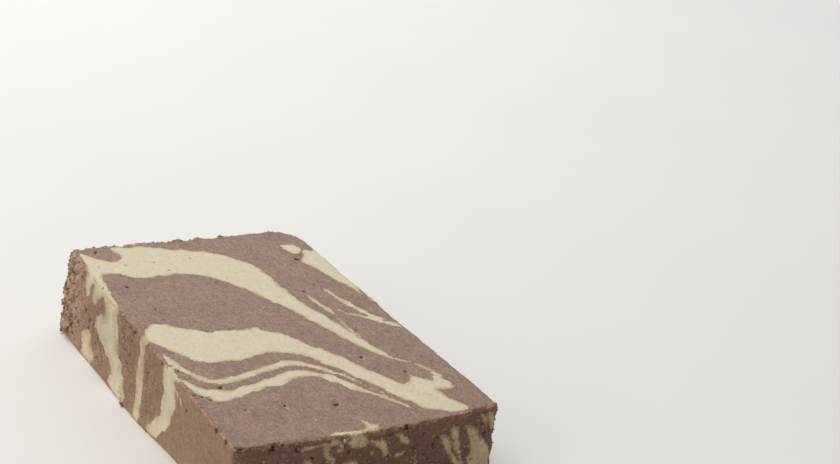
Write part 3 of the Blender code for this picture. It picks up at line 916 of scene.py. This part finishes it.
def surface_fields(slab, form, crest, pits):
    """What the material reads at each point, by name: the marbling field, and shares from 0 to 1 of all the
    rest, such as torn front, foot, lower wall and smooth wall (both painted lighter as if lit from the
    floor), pit and rim. The crest is from -1 to 1."""
    at_front, at_back = crumb_shares(slab)
    wall = on_walls(slab)
    on_left = fade((-slab[:, 0] - HALF[0] + MM) / MM)
    # the front part of the left wall: smoother, and painted lighter as if lit from the floor
    burnished = on_left * fade((FLOOR_LIT_FROM - slab[:, 1]) / FLOOR_LIT_FADE)
    facing_back = fade((slab[:, 1] - HALF[1] + BACK_BAND) / BACK_BAND)
    patchy = 0.5 * fade(0.5 + 0.9 * smooth_noise(slab, ROUGH_PATCH, seed=63)) * (1.0 - burnished)
    return {
        "marbling": marbling(slab, form),
        "crest": crest * wall * at_back,
        "crumbly": wall * at_back * (1.0 - 0.6 * facing_back),
        "front": wall * at_front,
        "foot": wall * fade(1.0 - slab[:, 2] / FOOT_TINT),
        # the lower walls, painted lighter as if lit by light bounced up from the floor
        "low": wall * (1.0 - at_front) * fade(1.0 - slab[:, 2] / BOUNCE_LIT_HEIGHT),
        "torn": wall * np.maximum.reduce([at_back, 0.7 * at_front, patchy]),
        "dragged": wall * (1.0 - at_front) * (1.0 - at_back),
        "burnished": burnished,
        "hollow": fade(pits / HOLLOW_FULL),
        "rim": near_rims(slab),
    }


def read_vectors(mesh, name):
    """The vertices' places or normals as rows of three."""
    values = np.empty(len(mesh.vertices) * 3)
    mesh.vertices.foreach_get(name, values)
    return values.reshape(-1, 3)


def new_piece(name, points, faces, material):
    """A smooth mesh object of these points and faces, which moves with the slice and has its finish."""
    mesh = bpy.data.meshes.new(name)
    mesh.from_pydata(points.tolist(), [], faces.tolist())
    mesh.shade_smooth()
    mesh.materials.append(material)
    piece = bpy.data.objects.new(name, mesh)
    bpy.context.scene.collection.objects.link(piece)
    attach(piece, BODY)
    return piece


def write_attribute(mesh, name, values):
    """One number for each vertex, which the materials read by its name."""
    attribute = mesh.attributes.new(name, "FLOAT", "POINT")
    attribute.data.foreach_set("value", np.asarray(values, np.float32))


def read_attribute(mesh, name):
    """The numbers that write_attribute put there."""
    values = np.empty(len(mesh.vertices), np.float32)
    mesh.attributes[name].data.foreach_get("value", values)
    return values.astype(float)


def rough_ball(rings, spokes):
    """A ball of radius 1 with a point at each pole: its points by height and turn, and its faces."""
    height = np.linspace(0.0, np.pi, rings + 2)[1:-1]
    turn = np.linspace(0.0, 2 * np.pi, spokes, endpoint=False)
    polar, around = np.meshgrid(height, turn, indexing="ij")
    level = np.sin(polar)
    shell = np.stack([level * np.cos(around), level * np.sin(around), np.cos(polar)], axis=-1)
    points = np.concatenate([shell.reshape(-1, 3), [(0, 0, 1), (0, 0, -1)]])
    number = np.arange(rings * spokes).reshape(rings, spokes)
    onward = np.roll(number, -1, axis=1)
    side = np.stack([number[:-1], number[1:], onward[1:], onward[:-1]], axis=-1).reshape(-1, 4)
    split = np.concatenate([side[:, :3], side[:, [0, 2, 3]]])
    top = np.stack([np.full(spokes, rings * spokes), number[0], onward[0]], axis=-1)
    foot = np.stack([np.full(spokes, rings * spokes + 1), onward[-1], number[-1]], axis=-1)
    return points, np.concatenate([split, top, foot])


def turned(count, generator):
    """Random turns, as matrices whose columns are three unit vectors square to each other."""
    return np.linalg.qr(generator.normal(size=(count, 3, 3)))[0]


def crumb_points(places, sizes, generator):
    """The points of all the crumbs: a rough ball for each, uneven, turned at random and set on its place,
    with nothing of it below the table. Then their faces, and how many points each crumb has."""
    ball, faces = rough_ball(3, 6)
    count = len(places)
    uneven = generator.uniform(*CRUMB_UNEVEN, (count, len(ball), 1))
    stretch = generator.uniform(*CRUMB_STRETCH, (count, 1, 3))
    shaped = ball * uneven * stretch * sizes[:, None, None]
    turns = turned(count, generator)
    mirrored = np.linalg.det(turns) < 0
    turns[mirrored, :, 0] *= -1.0
    points = np.einsum("nij,nvj->nvi", turns, shaped) + places[:, None, :]
    points[..., 2] = np.maximum(points[..., 2], 0.0)
    numbered = faces + (np.arange(count) * len(ball))[:, None, None]
    return points.reshape(-1, 3), numbered.reshape(-1, 3), len(ball)


def vertex_areas(points, quads):
    """The share of the surface that belongs to each point: a quarter of every quad round it."""
    a, b, c, d = (points[quads[:, k]] for k in range(4))
    area = np.linalg.norm(np.cross(c - a, d - b), axis=1) / 2
    return np.bincount(quads.ravel(), np.repeat(area / 4, 4), minlength=len(points))


def add_node(tree, kind, sockets=None, **settings):
    """A node with these settings. sockets gives its inputs by name or number: a value, or the output to
    link to it."""
    node = tree.nodes.new(kind)
    for name, value in settings.items():
        setattr(node, name, value)
    for name, value in (sockets or {}).items():
        socket = node.inputs[name]
        if isinstance(value, bpy.types.NodeSocket):
            tree.links.new(value, socket)
        else:
            socket.default_value = value
    return node


def maths(tree, operation, first, second=0.0):
    """One operation on two values, not clamped."""
    return add_node(tree, "ShaderNodeMath", {0: first, 1: second}, operation=operation).outputs[0]


def times(tree, first, *others):
    """The product of the values."""
    for other in others:
        first = maths(tree, "MULTIPLY", first, other)
    return first


def plus(tree, first, second):
    """The sum of two values."""
    return maths(tree, "ADD", first, second)


def larger(tree, first, second):
    """The larger of two values."""
    return maths(tree, "MAXIMUM", first, second)


def centred(tree, value, middle=0.5):
    """The value with its middle moved to 0."""
    return maths(tree, "SUBTRACT", value, middle)


def ramp(tree, value, low, high, to_low=0.0, to_high=1.0):
    """to_low where the value is at or below low, to_high at or above high, and a smooth S between."""
    sockets = {"Value": value, "From Min": low, "From Max": high, "To Min": to_low, "To Max": to_high}
    return add_node(tree, "ShaderNodeMapRange", sockets, interpolation_type="SMOOTHSTEP").outputs[0]


def blend_colours(tree, share, first, second, way="MIX"):
    """The first colour where the share is 0 and the second where it is 1."""
    sockets = {0: share, 6: first, 7: second}
    return add_node(tree, "ShaderNodeMix", sockets, data_type="RGBA", blend_type=way).outputs[2]


def opaque(colour):
    """A colour property as red, green, blue and alpha."""
    return (*colour, 1.0)


def overlaid(tree, colour, layers):
    """The colour under layers, each of them a share, a colour property and the way in which they blend."""
    for share, tint, way in layers:
        colour = blend_colours(tree, share, colour, opaque(tint), way)
    return colour


def grey_shift(tree, colour, shade, amount):
    """The colour made lighter or darker by this share of itself where the shade is 1 or -1."""
    return blend_colours(tree, 1.0, colour, plus(tree, times(tree, shade, amount), 1.0), way="MULTIPLY")


def object_place(tree, stretch=(1.0, 1.0, 1.0)):
    """The place on the object, in metres, with each direction multiplied by its stretch."""
    place = add_node(tree, "ShaderNodeTexCoord").outputs["Object"]
    return add_node(tree, "ShaderNodeMapping", {"Vector": place, "Scale": stretch}).outputs[0]


def cloudy(tree, place, name):
    """The cloudy pattern of this name, from 0 to 1."""
    size, detail, roughness = CLOUDS[name]
    sockets = {"Vector": place, "Scale": 1.0 / size, "Detail": detail, "Roughness": roughness}
    return add_node(tree, "ShaderNodeTexNoise", sockets).outputs[0]


def blots(tree, place, name, to_low=0.0, to_high=1.0):
    """The cloudy pattern of this name as blots: to_low between them and to_high in their middle."""
    return ramp(tree, cloudy(tree, place, name), *BLOTS[name], to_low, to_high)


def cells(tree, place, size, output="Distance"):
    """Cells about this size: the distance from each one's middle, in cells, or its own random colour."""
    return add_node(tree, "ShaderNodeTexVoronoi", {"Vector": place, "Scale": 1.0 / size}).outputs[output]


def read_field(tree, name):
    """The number stored under this name at each point of the mesh."""
    return add_node(tree, "ShaderNodeAttribute", attribute_name=name).outputs["Fac"]


def new_group(name, inputs, outputs):
    """An empty node group with these inputs and outputs, all of them single values."""
    group = bpy.data.node_groups.new(name, "ShaderNodeTree")
    for label in inputs:
        group.interface.new_socket(label, in_out="INPUT", socket_type="NodeSocketFloat")
    for label in outputs:
        group.interface.new_socket(label, in_out="OUTPUT", socket_type="NodeSocketFloat")
    entry = group.nodes.new("NodeGroupInput")
    leave = group.nodes.new("NodeGroupOutput")
    return group, entry.outputs, leave.inputs


def place_group(tree, group, **values):
    """A node that stands for the group, with its inputs set or linked by name."""
    return add_node(tree, "ShaderNodeGroup", values, node_tree=group).outputs


def border_group():
    """Turns the marbling field, in millimetres, into a mask: 1 in the pale paste and 0 in the chocolate.

    The field is shifted by a slow and by a fine noise, so that the border wanders and frays.
    """
    group, given, result = new_group("paste_border", ("Marbling", "Wander", "Fray", "Softness"), ("Pale",))
    place = object_place(group)
    wander = centred(group, cloudy(group, place, "wander"))
    fray = centred(group, cloudy(group, place, "fray"))
    shifted = plus(group, given["Marbling"], times(group, wander, given["Wander"]))
    shifted = plus(group, shifted, times(group, fray, given["Fray"]))
    mask = ramp(group, shifted, times(group, given["Softness"], -1.0), given["Softness"])
    group.links.new(mask, result["Pale"])
    return group


def grain_group():
    """The grain of the paste: its shade from -1 to 1, the height of its bumps, and its small open pores.

    The grain is drawn out along the slice, the way the paste was pressed.
    """
    group, given, result = new_group("paste_grain", ("Coarseness",), ("Shade", "Height", "Pores"))
    place = object_place(group, GRAIN_DRAWN_OUT)
    fine = cloudy(group, place, "fine")
    crumb = cells(group, place, CRUMB_CELL)
    speck = ramp(group, cells(group, place, SPECK_CELL, output="Color"), 0.80, 0.97)
    coarse = cloudy(group, place, "coarse")
    shade = plus(group, times(group, centred(group, fine, 0.52), 3.4), centred(group, coarse, 0.52))
    shade = plus(group, shade, times(group, speck, 0.5))
    rough_part = times(group, maths(group, "SUBTRACT", 0.6, crumb), given["Coarseness"])
    height = plus(group, times(group, fine, 0.7), rough_part)
    pore_size = blots(group, place, "porous", 0.0, 0.17)
    pore_size = times(group, pore_size, plus(group, times(group, given["Coarseness"], 0.65), 0.45))
    pore_distance = maths(group, "SUBTRACT", cells(group, place, PORE_CELL), pore_size)
    pores = ramp(group, pore_distance, -0.06, 0.0, 1.0, 0.0)
    group.links.new(shade, result["Shade"])
    group.links.new(maths(group, "SUBTRACT", height, pores), result["Height"])
    group.links.new(pores, result["Pores"])
    return group


def shared_groups():
    """The two node groups that both materials use, made once."""
    makers = {"paste_border": border_group, "paste_grain": grain_group}
    return {name: bpy.data.node_groups.get(name) or make() for name, make in makers.items()}


def new_material(name):
    """A material with its node tree and its Principled BSDF."""
    material = bpy.data.materials.new(name)
    material.use_nodes = True
    return material, material.node_tree, material.node_tree.nodes["Principled BSDF"]


def paste_material(name):
    """A material of matt, slightly translucent paste."""
    material, tree, shader = new_material(name)
    for label, value in PASTE_FINISH.items():
        shader.inputs[label].default_value = value
    return material, tree, shader


def finish_shader(tree, shader, colour, roughness, height, strength):
    """Links the changing colour, roughness and bumps to the shader."""
    sockets = {"Height": height, "Strength": strength, "Distance": BUMP_DEPTH}
    bump = add_node(tree, "ShaderNodeBump", sockets)
    tree.links.new(colour, shader.inputs["Base Color"])
    tree.links.new(roughness, shader.inputs["Roughness"])
    tree.links.new(bump.outputs[0], shader.inputs["Normal"])


def dark_paste(tree, colours, at, shade, slow, marks):
    """The chocolate: specked; made darker and warmer on the side walls and more so on the front end, as
    painted shade; filmed over beside the pale paste; painted lighter low on the walls and on the front of
    the left wall, as if lit from the floor; and painted with highlights along the rims and on the crests of
    the crumb."""
    place = object_place(tree)
    tone = blots(tree, place, "tone")
    # painted light from the floor on the front part of the left wall
    smoothed = times(tree, at["burnished"], ramp(tree, slow, 0.2, 0.55, 0.1, 0.6))
    film = times(
        tree, ramp(tree, marks, 0.46, 0.70), ramp(tree, at["marbling"], -6.0, -0.5), at["dragged"], 0.6)
    # spots of painted highlight along the upper rim, more of them on the front end's
    highlighted = times(tree, at["rim"], cloudy(tree, place, "highlighted"))
    highlighted = ramp(tree, plus(tree, highlighted, times(tree, at["front"], 0.12)), 0.42, 0.60)
    # painted highlight on the crests of the coarse crumb
    crest_highlight = times(tree, ramp(tree, at["crest"], -0.60, 0.30), times(tree, at["crumbly"], 0.9))
    return overlaid(tree, opaque(colours.chocolate), (
        (times(tree, tone, 0.5), colours.chocolate_deep, "MIX"),
        (times(tree, ramp(tree, shade, 0.2, 1.8), 0.35), colours.speck, "MIX"),
        # painted shade: darker and warmer on the side walls
        (at["dragged"], colours.wall_shade_tint, "MULTIPLY"),
        # painted shade: much darker and warmer on the front end
        (at["front"], colours.front_shade_tint, "MULTIPLY"),
        # painted floor light on the front part of the left wall
        (smoothed, colours.burnished, "MIX"),
        # the film, and painted light bounced up from the floor on the lower walls
        (plus(tree, film, times(tree, at["low"], 0.50)), colours.smear_and_bounce_tan, "MIX"),
        # painted highlight along the rims
        (times(tree, highlighted, 0.6), colours.rim_highlight, "MIX"),
        # painted highlight on the crests
        (crest_highlight, colours.crumb_tan_and_crest_light, "MIX"),
    ))


def pale_paste(tree, colours, at, slow):
    """The pale paste: amber where it is oily, thin, torn or crumbled; painted lighter low on the walls and
    on the front of the left wall, as if lit from the floor; a little darker on the side walls; and painted
    warmer on the shaded front end.
    """
    place = object_place(tree)
    oily = blots(tree, place, "oily")
    thick = plus(tree, times(tree, at["dragged"], 2.8), 1.5)
    thin = times(
        tree, ramp(tree, at["marbling"], 0.1, thick, 0.9, 0.0), ramp(tree, slow, 0.35, 0.60),
        ramp(tree, at["burnished"], 0.0, 0.7, 1.0, 0.4))
    torn = times(tree, at["front"], ramp(tree, slow, 0.35, 0.6, 0.1, 0.5))
    crumbled = blots(tree, place, "crumbled")
    amber = times(tree, oily, 0.5)
    for share in (thin, torn, times(tree, crumbled, at["rim"], 0.65)):
        amber = larger(tree, amber, share)
    colour = blend_colours(tree, amber, opaque(colours.pale), opaque(colours.pale_amber))
    # painted light from the floor lightens the lower walls and the left wall's front part; the side walls
    # are a little darker
    for name, amount in (("low", 0.34), ("dragged", -0.07), ("burnished", 0.16)):
        colour = grey_shift(tree, colour, at[name], amount)
    # painted light: the pale paste is tinted warmer on the shaded front end
    return blend_colours(tree, at["front"], colour, opaque(colours.front_light_tint), way="MULTIPLY")


def marbled_material(colours):
    """The two pastes of the slice, parted along the marbling, with grain, pores, drag marks and hollows, and
    with painted shade in the pits, pores and crevices of the crumb.
    """
    groups = shared_groups()
    material, tree, shader = paste_material("marbled_halva")
    at = {name: read_field(tree, name) for name in FIELDS}
    place = object_place(tree)
    slow = cloudy(tree, place, "slow")
    marks = cloudy(tree, object_place(tree, MARKS_DRAWN_OUT), "marks")
    smear = times(tree, centred(tree, marks), at["dragged"], 2.4)
    border = place_group(
        tree, groups["paste_border"], Marbling=plus(tree, at["marbling"], smear), Wander=1.6, Fray=2.2,
        Softness=plus(tree, times(tree, at["front"], 0.4), 0.22))
    grain = place_group(tree, groups["paste_grain"], Coarseness=at["torn"])

    dark = dark_paste(tree, colours, at, grain["Shade"], slow, marks)
    colour = blend_colours(tree, border["Pale"], dark, pale_paste(tree, colours, at, slow))
    oozing = times(tree, at["foot"], blots(tree, place, "oozing"), 0.55)
    spots = blots(tree, place, "red")
    colour = overlaid(tree, colour, (
        (oozing, colours.foot_orange, "MIX"),
        (times(tree, spots, at["torn"], 0.4), colours.crumb_red, "MIX"),
    ))
    contrast = times(
        tree, ramp(tree, border["Pale"], 0.0, 1.0, 0.52, 0.14),
        ramp(tree, at["dragged"], 0.0, 1.0, 1.0, 1.2), ramp(tree, at["burnished"], 0.0, 1.0, 1.0, 0.65))
    colour = grey_shift(tree, colour, grain["Shade"], contrast)

    # painted shade: the pits and pores go dark
    pits = ramp(tree, plus(tree, at["hollow"], times(tree, grain["Shade"], 0.1)), 0.25, 0.6)
    # painted shadow in the valleys of the coarse crumb, in patches
    gaps = times(tree, ramp(tree, at["crest"], -0.85, -0.45, 0.8, 0.0), ramp(tree, slow, 0.40, 0.58))
    hollow = larger(tree, larger(tree, pits, times(tree, grain["Pores"], 0.6)), gaps)
    # the colour of the painted shade in the hollows
    pit_shade = blend_colours(tree, border["Pale"], opaque(colours.chocolate_pit_shade), opaque(colours.pale_pit_shade))
    colour = blend_colours(tree, times(tree, hollow, 0.92), colour, pit_shade)
    matt = blots(tree, place, "matt", 0.58, 0.74)
    strength = ramp(tree, at["torn"], 0.0, 1.0, 0.35, 0.9)
    finish_shader(tree, shader, colour, larger(tree, matt, hollow), grain["Height"], strength)
    return material


def crumb_material(colours):
    """The same two pastes broken to crumbs: each crumb has its own tint, and some are dark red."""
    groups = shared_groups()
    material, tree, shader = paste_material("halva_crumb")
    tint = read_field(tree, "tint")
    border = place_group(
        tree, groups["paste_border"], Marbling=read_field(tree, "marbling"), Wander=0.3, Fray=0.6,
        Softness=0.3)
    grain = place_group(tree, groups["paste_grain"], Coarseness=0.6)
    dark = overlaid(tree, opaque(colours.chocolate), (
        (tint, colours.chocolate_deep, "MIX"),
        (ramp(tree, tint, 0.85, 1.0, 0.0, 0.7), colours.crumb_red, "MIX"),
        (ramp(tree, tint, 1.1, 1.2), colours.crumb_orange, "MIX"),
        (ramp(tree, tint, 0.05, 0.30, 0.7, 0.0), colours.crumb_tan_and_crest_light, "MIX"),
    ))
    pale = blend_colours(tree, times(tree, tint, 0.6), opaque(colours.pale), opaque(colours.pale_amber))
    colour = grey_shift(tree, blend_colours(tree, border["Pale"], dark, pale), grain["Shade"], 0.14)
    finish_shader(tree, shader, colour, ramp(tree, tint, 0.0, 1.0, 0.6, 0.8), grain["Height"], 0.6)
    return material


def floor_material(colour):
    """A pale, matt floor with the faintest cloudiness."""
    material, tree, shader = new_material("pale_floor")
    cloud = blots(tree, object_place(tree), "floor")
    darker = [part * 0.985 for part in colour]
    tree.links.new(blend_colours(tree, cloud, opaque(colour), opaque(darker)), shader.inputs["Base Color"])
    shader.inputs["Roughness"].default_value = 0.9
    return material


def soft_light(name, target, azimuth, elevation, distance, size, power, colour):
    """A square light that faces the target. Azimuth 0 is at +Y and 90 at +X, and both angles are in
    degrees."""
    turn, rise = radians(azimuth), radians(elevation)
    way = Vector((np.sin(turn) * np.cos(rise), np.cos(turn) * np.cos(rise), np.sin(rise)))
    light = bpy.data.lights.new(name, "AREA")
    light.size = size
    light.energy = power
    light.color = colour
    lamp = bpy.data.objects.new(name, light)
    lamp.location = target + way * distance
    lamp.rotation_euler = way.to_track_quat("Z", "Y").to_euler()
    bpy.context.scene.collection.objects.link(lamp)


class HALVA_OT_build_slice(bpy.types.Operator):
    """Builds the slice's whole surface over its solid, with its marbling, relief and pits"""

    bl_idname = "halva.build_slice"
    bl_label = "Build the slice"

    def execute(self, context):
        surface = context.scene.halva_surface
        slab, quads = slab_lattice(surface.step)
        form = slice_surface(slab)
        piece = new_piece(
            SLICE_NAME, form + placing_shift(), quads, marbled_material(context.scene.halva_colours))
        mesh = piece.data
        pits = pit_depths(slab, form, surface)
        fine, crest = fine_relief(slab, surface)
        height = fine - pits
        moved = read_vectors(mesh, "co") + read_vectors(mesh, "normal") * height[:, None]
        moved[:, 2] = np.maximum(moved[:, 2], 0.0)
        mesh.vertices.foreach_set("co", moved.ravel())
        fields = surface_fields(slab, form, crest, pits)
        for name in FIELDS:
            write_attribute(mesh, name, fields[name])
        mesh.update()
        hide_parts(NODE)
        return {"FINISHED"}


class HALVA_OT_add_crumbs(bpy.types.Operator):
    """Sets crumbs on the slice: small ones along its rims, and all sizes on its torn walls"""

    bl_idname = "halva.add_crumbs"
    bl_label = "Add the crumbs"

    def execute(self, context):
        crumbs = context.scene.halva_crumbs
        mesh = bpy.data.objects[SLICE_NAME].data
        points = read_vectors(mesh, "co")
        normals = read_vectors(mesh, "normal")
        quads = np.empty(len(mesh.polygons) * 4, int)
        mesh.polygons.foreach_get("vertices", quads)
        areas = vertex_areas(points, quads.reshape(-1, 4))
        names = ("torn", "rim", "front", "crumbly", "marbling")
        torn, rim, front, crumbly, field = (read_attribute(mesh, name) for name in names)
        above = fade(points[:, 2] / FOOT_CALM)
        material = crumb_material(context.scene.halva_colours)
        # the name, the number, the chance at each point, the largest size as a share, and the seed
        kinds = (
            ("rim_crumbs", crumbs.rim_count, rim ** 2 * (0.35 + torn + front), 0.42, 71),
            ("wall_crumbs", crumbs.wall_count, torn ** 1.5 * above * (1.0 - 0.85 * rim), 1.0, 72),
        )
        for name, count, chance, size_share, seed in kinds:
            generator = np.random.default_rng(seed)
            weight = chance * areas
            rows = generator.choice(len(points), count, replace=False, p=weight / weight.sum())
            spread = crumbs.largest * (size_share * (0.5 + 0.5 * torn[rows])) / crumbs.smallest
            sizes = crumbs.smallest * spread ** (generator.uniform(0.0, 1.0, count) ** CRUMB_SIZE_POWER)
            lift = generator.uniform(*CRUMB_LIFT, count) * sizes
            places = points[rows] + normals[rows] * lift[:, None]
            places[:, 2] = np.maximum(places[:, 2], CRUMB_CLEARANCE * sizes)
            shaped, faces, each = crumb_points(places, sizes, generator)
            piece = new_piece(name, shaped, faces, material)
            own = field[rows] + generator.normal(0.0, CRUMB_FIELD_SPREAD, count)
            own -= BACK_CRUMB_BIAS * crumbly[rows]
            tint = generator.uniform(0.0, 1.0, count) ** CRUMB_TINT_POWER
            write_attribute(piece.data, "marbling", np.repeat(own, each))
            write_attribute(piece.data, "tint", np.repeat(tint, each))
        self.add_red_crumbs(material)
        return {"FINISHED"}

    def add_red_crumbs(self, material):
        """The single dark red crumbs, each at its own place."""
        named = read_places(RED_CRUMBS)
        places = named[:, :3] + placing_shift()
        shaped, faces, each = crumb_points(places, named[:, 3], np.random.default_rng(73))
        piece = new_piece("red_crumbs", shaped, faces, material)
        write_attribute(piece.data, "marbling", np.full(len(shaped), CHOCOLATE))
        write_attribute(piece.data, "tint", np.full(len(shaped), RED_TINT))


def add_floor(colour):
    """The pale floor, which isn't part of the slice."""
    corners = [(x * FLOOR_REACH, y * FLOOR_REACH, 0.0) for x, y in ((-1, -1), (1, -1), (1, 1), (-1, 1))]
    mesh = bpy.data.meshes.new("pale_floor")
    mesh.from_pydata(corners, [], [(0, 1, 2, 3)])
    mesh.materials.append(floor_material(colour))
    floor = bpy.data.objects.new("pale_floor", mesh)
    bpy.context.scene.collection.objects.link(floor)


def add_camera(stage):
    """The camera, where it stood and as it was turned when the photograph was taken."""
    camera = bpy.data.cameras.new("photograph_camera")
    camera.lens = stage.lens
    camera.clip_start = 0.01
    eye = bpy.data.objects.new("photograph_camera", camera)
    turn = Matrix.Rotation(-stage.azimuth, 4, "Z")
    tilt = Matrix.Rotation(radians(90) - stage.elevation, 4, "X")
    roll = Matrix.Rotation(stage.roll, 4, "Z")
    place = read_places(CAMERA_PLACE) + placing_shift()
    eye.matrix_world = Matrix.Translation(place) @ turn @ tilt @ roll
    bpy.context.scene.collection.objects.link(eye)
    bpy.context.scene.camera = eye


def light_sky(strength):
    """Even, slightly warm light from all round."""
    scene = bpy.context.scene
    scene.world = scene.world or bpy.data.worlds.new("soft_studio")
    scene.world.use_nodes = True
    sky = scene.world.node_tree.nodes["Background"]
    sky.inputs["Color"].default_value = SKY_COLOUR
    sky.inputs["Strength"].default_value = strength


class HALVA_OT_set_stage(bpy.types.Operator):
    """Sets the photograph's camera, soft lights, and a pale floor that isn't part of the slice"""

    bl_idname = "halva.set_stage"
    bl_label = "Set the stage"

    def execute(self, context):
        stage = context.scene.halva_stage
        add_floor(stage.floor)
        add_camera(stage)
        middle = Vector((0.0, 0.0, THICKNESS / 2))
        for name, (azimuth, elevation, distance, size, colour) in LIGHTS.items():
            power = getattr(stage, name)
            soft_light(f"{name}_light", middle, azimuth, elevation, distance, size, power, colour)
        light_sky(stage.ambient)
        context.scene.view_settings.view_transform = "Standard"
        return {"FINISHED"}


class HALVA_PT_panel(bpy.types.Panel):
    """The sidebar panel: every step in its order, with the sizes and colours under it"""

    bl_idname = "HALVA_PT_panel"
    bl_label = "Marbled halva slice"
    bl_space_type = "VIEW_3D"
    bl_region_type = "UI"
    bl_category = "Halva"

    def draw(self, context):
        for operator, groups in PANEL_ROWS:
            box = self.layout.box()
            box.operator(operator.bl_idname)
            for group in groups:
                settings = getattr(context.scene, group)
                for name in settings.__annotations__:
                    box.prop(settings, name)


SETTINGS = {
    "halva_surface": HalvaSurface,
    "halva_crumbs": HalvaCrumbs,
    "halva_colours": HalvaColours,
    "halva_stage": HalvaStage,
}
PANEL_ROWS = (
    (HALVA_OT_build_slice, ("halva_surface", "halva_colours")),
    (HALVA_OT_add_crumbs, ("halva_crumbs",)),
    (HALVA_OT_set_stage, ("halva_stage",)),
)
CLASSES = (*SETTINGS.values(), *(operator for operator, groups in PANEL_ROWS), HALVA_PT_panel)


def register():
    """Makes the classes known to Blender, and gives every scene its settings."""
    for shown in CLASSES:
        bpy.utils.register_class(shown)
    for name, settings in SETTINGS.items():
        setattr(bpy.types.Scene, name, PointerProperty(type=settings))


def unregister():
    """Takes back what register did, in the opposite order."""
    for name in SETTINGS:
        delattr(bpy.types.Scene, name)
    for shown in reversed(CLASSES):
        bpy.utils.unregister_class(shown)


def main():
    """Builds the slice, its crumbs and the stage."""
    register()
    for old in list(bpy.data.objects):
        if old.type in ("CAMERA", "LIGHT"):
            bpy.data.objects.remove(old)
    bpy.ops.halva.build_slice()
    bpy.ops.halva.add_crumbs()
    bpy.ops.halva.set_stage()


if __name__ == "__main__":
    main()
